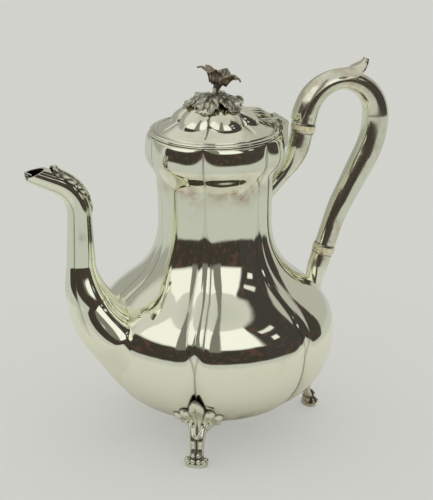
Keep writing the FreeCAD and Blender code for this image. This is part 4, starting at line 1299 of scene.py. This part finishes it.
class POT_OT_shell(bpy.types.Operator):
    """Fans a ribbed scallop from the hinge over the lid"""

    bl_idname = "pot.shell"
    bl_label = "Hinge shell"

    def execute(self, context):
        low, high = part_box("hinge_shell")

        def ribbing(v):
            return abs(math.sin(SHELL_RIBS * math.pi * v))

        def fan(u, v):
            side = 2 * v - 1
            spread = math.radians(25) * side
            reach = (high[0] - low[0]) * mix(0.06, 1.12, u) * (1 - 0.06 * ribbing(v) * u)
            crown = mix(1.4, 6.2, ease(0, 0.62, u)) * MM
            edge = mix(0.78, 0.35, ease(0.55, 1.0, u))
            rib = 0.5 * MM * u ** 0.7 * ribbing(v)
            height = low[2] + 0.5 * MM + crown * (1 - edge * side * side) + rib
            return Vector((high[0] - reach * math.cos(spread), reach * math.sin(spread), height))

        # painted shade between the ribs and at the hinge
        def painted_shade(u, v):
            return max(0.85 * (1 - ribbing(v)) ** 2 * ease(0.05, 0.3, u), 0.6 * (1 - ease(0, 0.2, u)))

        piece = sheet("scallop", 48, 90, fan, painted_shade)
        modify(piece, "SOLIDIFY", thickness=1.1 * MM, offset=-1.0)
        complete(piece, "lid", "cast_silver", "hinge_shell", sharp=60)
        return {"FINISHED"}


LIP_LEAF_LOBES = 3.6


class POT_OT_spout_leaf(bpy.types.Operator):
    """Lays the cast acanthus over the lip's bend, with curled lobes and a scroll at the mouth"""

    bl_idname = "pot.spout_leaf"
    bl_label = "Spout leaf"

    def execute(self, context):
        sizes = context.scene.pot_spout
        path = spout_path(sizes)
        total = path[-1][2]
        bend = sizes.root_length + sizes.elbow_r * (math.pi / 2 - sizes.root_angle) + sizes.riser_length
        start = (bend + 1.0 * MM) / total
        end = (bend + sizes.lip_r * sizes.lip_turn + 6.0 * MM) / total

        def ground(u, around):
            place = mix(start, end, u)
            point, lean = along(path, place)
            high, wide = spout_section(sizes, path, place)
            turn = math.pi + around
            normal = across(lean) * math.cos(turn) + SIDEWAYS * math.sin(turn)
            return oval(point, lean, high, wide, turn), normal

        def lobing(u):
            return abs(math.sin(math.pi * (LIP_LEAF_LOBES * u + 0.1)))

        def spread(u):
            half = math.radians(mix(16, 58, ease(0, 0.5, u)))
            return half * mix(0.62, 1.0, lobing(u) ** 0.6) * (1 - 0.35 * ease(0.85, 1, u))

        def relief(u, v):
            side = 2 * v - 1
            point, normal = ground(u, spread(u) * side)
            body = 1 - abs(side) ** 3
            ridge = 0.9 * bump(side, 0, 0.2)
            curl = 1.3 * lobing(u) * bump(abs(side), 0.68, 0.2)
            scroll = 1.9 * bump(u, 0.95, 0.07) * (1 - side * side)
            vein = -0.6 * bump(abs(side), 0.33, 0.09)
            height = (body + ridge + curl + vein + scroll) * mix(0.55, 1.0, ease(0, 0.3, u))
            return point + normal * ((height - 0.25) * MM)

        # painted shade in the veins, between the lobes, at the scroll and along the edges where the leaf
        # meets the spout
        def painted_shade(u, v):
            side = abs(2 * v - 1)
            lobes = 0.9 * (1 - lobing(u)) ** 2 * ease(0.3, 0.6, side)
            scroll = 0.8 * bump(u, 0.86, 0.03)
            return max(0.95 * bump(side, 0.35, 0.1), lobes, ease(0.86, 0.98, side), scroll) * 0.95

        piece = sheet("lip_leaf", 110, 56, relief, painted_shade)
        modify(piece, "SOLIDIFY", thickness=0.6 * MM, offset=-1.0)
        complete(piece, "pot", "cast_silver", "spout_leaf", sharp=70)
        return {"FINISHED"}


FOOT_BEARINGS = {"handle_foot": 0, "far_foot": 120, "near_foot": 240}
# bearing from upright and half width in degrees, and length as a share of the middle lobe's, for each lobe
PALMETTE = (
    (-70, 9, 0.62), (-50, 10, 0.76), (-28, 11, 0.74), (0, 15, 1.0),
    (28, 11, 0.74), (50, 10, 0.76), (70, 9, 0.62),
)
PALMETTE_SWEEP = 82.0
# distance in from the ankle's radius and height of the ankle's upper stops in millimetres
ANKLE_RISE = ((0.2, 11.0), (0.6, 16.0), (4.0, 22.0), (9, 28.0))
# how far past the lobes' outline the palmette's sheet runs, to be turned down into the vessel
PALMETTE_HEM = 0.06
# turn from a foot's crease to near the middle of a lobe, where the crease doesn't break the slope
LOBE_ASIDE = 0.5
# half depth and half width of the ankle in millimetres at shares of its height
ANKLE_DEEP = ((0, 3.4), (0.2, 3.0), (0.45, 2.9), (0.7, 3.8), (1, 4.4))
ANKLE_WIDE = ((0, 5.6), (0.15, 4.6), (0.4, 4.3), (0.65, 5.0), (0.85, 5.4), (1, 5.0))


class POT_OT_feet(bpy.types.Operator):
    """Models a cast foot, its palmette, grooved ankle, pad and beaded toes, and sets it at three bearings"""

    bl_idname = "pot.feet"
    bl_label = "Feet"

    def execute(self, context):
        sizes = context.scene.pot_feet
        vessel = context.scene.pot_vessel
        rows = vessel_rows(vessel)
        tall = sizes.tip_z - sizes.root_z

        def lobe_of(degrees):
            return min(PALMETTE, key=lambda lobe: abs(degrees - lobe[0]) / lobe[1])

        def reach_at(degrees):
            middle, half, portion = lobe_of(degrees)
            off = min(abs(degrees - middle) / half, 1.15)
            point = off ** 1.15 * 0.34 if middle == 0 else off ** 2.2 * 0.17
            return tall * portion * (1 - point)

        def relief(u, v):
            degrees = mix(-PALMETTE_SWEEP, PALMETTE_SWEEP, v)
            out = u * (1 + PALMETTE_HEM)
            reach = reach_at(degrees) * out
            turn = math.radians(degrees)
            height = sizes.root_z + reach * math.cos(turn)
            bearing = reach * math.sin(turn) / (sizes.radius - 4 * MM)
            radius, _ = row_at(rows, height)
            point = polar(radius, bearing, height)
            normal = turned(vessel_normal(vessel, rows, height, bearing + LOBE_ASIDE), -LOBE_ASIDE)
            middle, half, _ = lobe_of(degrees)
            off = min(abs(degrees - middle) / half, 1.0)
            crown = max(math.cos(off * math.pi / 2), 0) ** 0.6
            if middle == 0:
                crown *= 1 - 0.5 * bump(off, 0, 0.16) * ease(0.1, 0.3, u)
            lift = sizes.relief * (0.2 + 0.8 * crown) * math.sqrt(max(1 - ease(0.9, 1.0, out), 0))
            lift += 0.45 * MM * bump(u, 0.8, 0.1) * (1 - off)
            lift = lift + 0.12 * MM if out < 1 else mix(0.12, -0.9, (out - 1) / PALMETTE_HEM) * MM
            stand = max(sizes.ankle_r + 2.6 * MM - radius, 0) * (1 - ease(0.0, 0.75, u)) * 0.9
            return point + normal * lift + polar(1, bearing) * stand

        # painted shade between the lobes, along the middle lobe's vein and along the hem turned into the
        # vessel
        def painted_shade(u, v):
            degrees = mix(-PALMETTE_SWEEP, PALMETTE_SWEEP, v)
            middle, half, _ = lobe_of(degrees)
            off = abs(degrees - middle) / half
            vein = 0.85 * bump(off, 0, 0.12) * ease(0.12, 0.3, u) * (1 - ease(0.75, 0.9, u))
            vein *= middle == 0
            return max(0.9 * ease(0.66, 0.96, off) * ease(0, 0.08, u), 0.75 * ease(0.94, 0.975, u), vein)

        leaf = sheet("palmette", 70, 190, relief, painted_shade)
        modify(leaf, "SOLIDIFY", thickness=0.9 * MM, offset=-1.0)
        stops = [(sizes.radius, 1.6 * MM), (sizes.radius - 0.4 * MM, 6.0 * MM)]
        stops += [(sizes.ankle_r - inset * MM, high * MM) for inset, high in ANKLE_RISE]

        def ankle(u, v):
            point, _ = plot(stops, u)
            turn = math.tau * v
            groove = 1 - 0.3 * bump(math.sin(turn / 2), 0, 0.16) - 0.1 * abs(math.sin(3.5 * turn))
            x = landmarks(ANKLE_DEEP, u) * MM * groove * math.cos(turn)
            y = landmarks(ANKLE_WIDE, u) * MM * mix(1, groove, 0.4) * math.sin(turn)
            return point + Vector((x, y, 0))

        # painted shade in the ankle's grooves and round its ring
        def ankle_painted_shade(u, v):
            front_groove = bump(math.sin(math.pi * v), 0, 0.12)
            side_groove = 1 - abs(math.sin(3.5 * math.tau * v))
            ring = 0.8 * bump(u, 0.2, 0.04)
            return max(0.95 * front_groove, 0.5 * side_groove ** 3, ring) * ease(0, 0.1, u)

        stem = sheet("ankle", 60, 72, ankle, ankle_painted_shade)
        parts = [leaf, stem]
        begin()
        bpy.ops.mesh.primitive_cylinder_add(vertices=64, radius=1.0, depth=sizes.pad_t)
        pad = bpy.context.object
        half_w, half_l = sizes.pad_w / 2, sizes.pad_l / 2
        mould(pad, lambda co: Vector((sizes.radius + co.x * half_l, co.y * half_w, co.z + sizes.pad_t / 2)))
        modify(pad, "BEVEL", width=0.6 * MM, segments=3, limit_method="ANGLE")
        # painted shade on the pad's top, under the ankle and beads
        mark(pad, [0.25 * ease(1.6 * MM, 2.4 * MM, v.co.z) for v in pad.data.vertices])
        parts.append(pad)
        beads = [(0.62, side * (0.9 + 2.6 * k), 3.7, 1.75) for side in (-1, 1) for k in (0.35, 1.6)]
        beads += [(0.5, side * 1.7, 7.6, 1.5) for side in (-1, 1)]
        beads += [(0.0, side * 5.6, 3.6, 1.9) for side in (-1, 1)]
        for ahead, aside, high, size in beads:
            begin()
            place = (sizes.radius + ahead * half_l, aside * MM, high * MM)
            radius = size * MM
            bpy.ops.mesh.primitive_uv_sphere_add(segments=24, ring_count=14, radius=radius, location=place)
            bead = bpy.context.object
            bpy.ops.object.transform_apply(location=True, rotation=True, scale=True)
            # painted shade on the beads' inner sides, towards the ankle and vessel
            fronts = [(v.co.x - place[0]) / radius for v in bead.data.vertices]
            mark(bead, [0.9 * (1 - ease(0.1, 0.75, front + 0.4)) for front in fronts])
            parts.append(bead)
        foot = join("foot", parts)
        for node, degrees in FOOT_BEARINGS.items():
            copy = duplicate(foot, node + "_cast")
            mould(copy, lambda co: turned(co, math.radians(degrees)))
            complete(copy, "pot", "cast_silver", node, sharp=60)
        delete(foot)
        return {"FINISHED"}


class POT_OT_stage(bpy.types.Operator):
    """Sets up the pale table, the surroundings, the light and the camera"""

    bl_idname = "pot.stage"
    bl_label = "Stage"

    def execute(self, context):
        settings = context.scene.pot_stage
        make_floor(settings)
        make_surroundings(context.scene, settings)
        make_camera(context.scene, settings)
        context.scene.view_settings.view_transform = "Standard"
        return {"FINISHED"}


def make_floor(settings):
    """A table whose far part reflections look through, and whose shadows are light."""
    begin()
    bpy.ops.mesh.primitive_plane_add(size=14.0)
    floor = bpy.context.object
    floor.name = "table"
    material, tree, shader, place = new_material("table")
    shader.inputs["Base Color"].default_value = rgba(settings.floor)
    shader.inputs["Roughness"].default_value = 0.75
    shader.inputs["Specular IOR Level"].default_value = 0.2
    away = add(tree, "ShaderNodeVectorMath", {0: place}, operation="LENGTH").outputs["Value"]
    rays = add(tree, "ShaderNodeLightPath")
    far = remap(tree, away, *settings.table_fade)
    beyond = sum_node(tree, "MULTIPLY", far, rays.outputs["Is Glossy Ray"])
    glow = add(tree, "ShaderNodeEmission", {"Color": rgba(settings.backdrop)})
    lifted = sum_node(tree, "MULTIPLY", rays.outputs["Is Camera Ray"], settings.shadow_lift)
    lit = add(tree, "ShaderNodeMixShader", {0: lifted, 1: shader.outputs[0], 2: glow.outputs[0]})
    clear = add(tree, "ShaderNodeBsdfTransparent")
    mixed = add(tree, "ShaderNodeMixShader", {0: beyond, 1: lit.outputs[0], 2: clear.outputs[0]})
    tree.links.new(mixed.outputs[0], tree.nodes["Material Output"].inputs["Surface"])
    floor.data.materials.append(material)


def window_group():
    """A soft-edged rectangle in bearing and elevation, in degrees."""
    names = ("Bearing", "Elevation", "Left", "Right", "Low", "High", "Soft")
    group, given, out = new_group(
        "Window", [(name, "NodeSocketFloat", 0.0) for name in names], [("Mask", "NodeSocketFloat")])
    soft = given["Soft"]

    def past(value, edge):
        start = sum_node(group, "SUBTRACT", edge, soft)
        return remap(group, value, start, sum_node(group, "ADD", edge, soft))

    def between(value, low, high):
        return sum_node(group, "SUBTRACT", past(value, low), past(value, high))

    wide = between(given["Bearing"], given["Left"], given["Right"])
    tall = between(given["Elevation"], given["Low"], given["High"])
    group.links.new(sum_node(group, "MULTIPLY", wide, tall), out["Mask"])
    return group


# left, right, low, high (degrees from the camera's bearing and over the horizon), softness, strength, colour
ROOM_PATCHES = (
    (-190, 190, -100, 100, 1.0, 0.62, (1.0, 1.0, 0.95)),
    (-190, -96, -10, 30, 6.0, 0.36, (1.0, 0.99, 0.92)),
    (108, 190, -10, 48, 8.0, 0.46, (1.0, 0.99, 0.92)),
    (-190, 190, 72, 100, 9.0, 0.56, (0.98, 1.0, 0.93)),
    (-190, 190, -100, -5, 5.0, 0.54, (0.985, 1.015, 0.955)),
    (-88, 118, -12, 22, 1.5, 0.045, (1.0, 0.88, 0.72)),
    (50, 116, -12, 64, 2.5, 0.05, (1.0, 0.93, 0.85)),
    (-28, 4, 18, 82, 3.0, 0.2, (1.0, 1.0, 0.88)),
    (-84, -26, 25, 62, 1.5, 0.92, (1.0, 1.0, 0.96)),
    (3, 48, 24, 64, 1.5, 0.95, (1.0, 1.0, 0.98)),
    (64, 74, 28, 36, 0.8, 0.9, (1.0, 0.98, 0.93)),
    (60, 82, 46, 51, 0.8, 0.8, (1.0, 0.98, 0.93)),
)
# patches weaker than this hold the clutter
DARK_PATCH = 0.1
TENT_LOW = (0.86, 0.85, 0.80)
TENT_HIGH = (0.80, 0.79, 0.75)


def make_surroundings(scene, settings):
    """A tent that lights the pot, an even backdrop, and a room with windows that only reflections show."""
    world = bpy.data.worlds.new("surroundings")
    scene.world = world
    world.use_nodes = True
    tree = world.node_tree
    direction = add(tree, "ShaderNodeTexCoord").outputs["Generated"]
    parts = add(tree, "ShaderNodeSeparateXYZ", {0: direction})
    x, y, z = parts.outputs
    bearing = sum_node(tree, "ARCTAN2", x, sum_node(tree, "MULTIPLY", y, -1.0))
    bearing = sum_node(tree, "SUBTRACT", bearing, settings.azimuth)
    bearing = sum_node(tree, "DEGREES", sum_node(tree, "WRAP", bearing, math.pi, -math.pi))
    elevation = sum_node(tree, "DEGREES", sum_node(tree, "ARCSINE", z))
    tent = blend(tree, remap(tree, elevation, -5.0, 80.0), rgba(TENT_LOW), rgba(TENT_HIGH))
    clutter = remap(tree, noise(tree, direction, 6.0, 2.0), 0.5, 0.7)
    group = window_group()
    seen = tent
    for *limits, strength, tint in ROOM_PATCHES:
        patch = add(tree, "ShaderNodeGroup", None, node_tree=group)
        for name, value in zip(("Left", "Right", "Low", "High", "Soft"), limits):
            patch.inputs[name].default_value = value
        tree.links.new(bearing, patch.inputs["Bearing"])
        tree.links.new(elevation, patch.inputs["Elevation"])
        shade = rgba(strength * value for value in tint)
        if strength < DARK_PATCH:
            shade = blend(tree, clutter, shade, rgba(settings.clutter))
        seen = blend(tree, patch.outputs["Mask"], seen, shade)
    rays = add(tree, "ShaderNodeLightPath")
    lighting = blend(tree, rays.outputs["Is Glossy Ray"], tent, seen)
    shown = blend(tree, rays.outputs["Is Camera Ray"], lighting, rgba(settings.backdrop))
    background = tree.nodes["Background"]
    tree.links.new(shown, background.inputs["Color"])
    background.inputs["Strength"].default_value = 1.0


def make_camera(scene, settings):
    back = Vector((math.sin(settings.azimuth) * math.cos(settings.elevation),
                   -math.cos(settings.azimuth) * math.cos(settings.elevation), math.sin(settings.elevation)))
    place = Vector((0, 0, settings.aim_z)) + back * settings.distance
    bpy.ops.object.camera_add(location=place, rotation=back.to_track_quat("Z", "Y").to_euler())
    camera = bpy.context.object
    camera.data.sensor_width = 36.0
    camera.data.lens = settings.lens
    camera.data.shift_x = settings.shift_x
    camera.data.shift_y = settings.shift_y
    scene.camera = camera


class POT_PT_sidebar(bpy.types.Panel):
    """Sizes and colours of the pot"""

    bl_idname = "POT_PT_sidebar"
    bl_label = "Coffee pot"
    bl_space_type = "VIEW_3D"
    bl_region_type = "UI"
    bl_category = "Coffee pot"

    def draw(self, context):
        for operator in OPERATORS:
            self.layout.operator(operator.bl_idname)
        for name in SETTINGS:
            box = self.layout.box()
            settings = getattr(context.scene, name)
            for key in settings.bl_rna.properties.keys():
                if key not in ("rna_type", "name"):
                    box.prop(settings, key)


OPERATORS = (
    POT_OT_finishes, POT_OT_vessel, POT_OT_spout, POT_OT_spout_leaf, POT_OT_handle, POT_OT_thumb_leaf,
    POT_OT_feet, POT_OT_lid, POT_OT_finial_leaves, POT_OT_flower, POT_OT_shell, POT_OT_stage,
)


def register():
    for name, kind in SETTINGS.items():
        bpy.utils.register_class(kind)
        setattr(bpy.types.Scene, name, bpy.props.PointerProperty(type=kind))
    for kind in OPERATORS + (POT_PT_sidebar,):
        bpy.utils.register_class(kind)


def unregister():
    for kind in (POT_PT_sidebar,) + OPERATORS[::-1]:
        bpy.utils.unregister_class(kind)
    for name, kind in SETTINGS.items():
        delattr(bpy.types.Scene, name)
        bpy.utils.unregister_class(kind)


def main():
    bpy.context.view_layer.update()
    register()
    bpy.ops.pot.finishes()
    bpy.ops.pot.vessel()
    bpy.ops.pot.spout()
    bpy.ops.pot.spout_leaf()
    bpy.ops.pot.handle()
    bpy.ops.pot.thumb_leaf()
    bpy.ops.pot.feet()
    bpy.ops.pot.lid()
    bpy.ops.pot.finial_leaves()
    bpy.ops.pot.flower()
    bpy.ops.pot.shell()
    bpy.ops.pot.stage()


if __name__ == "__main__":
    main()
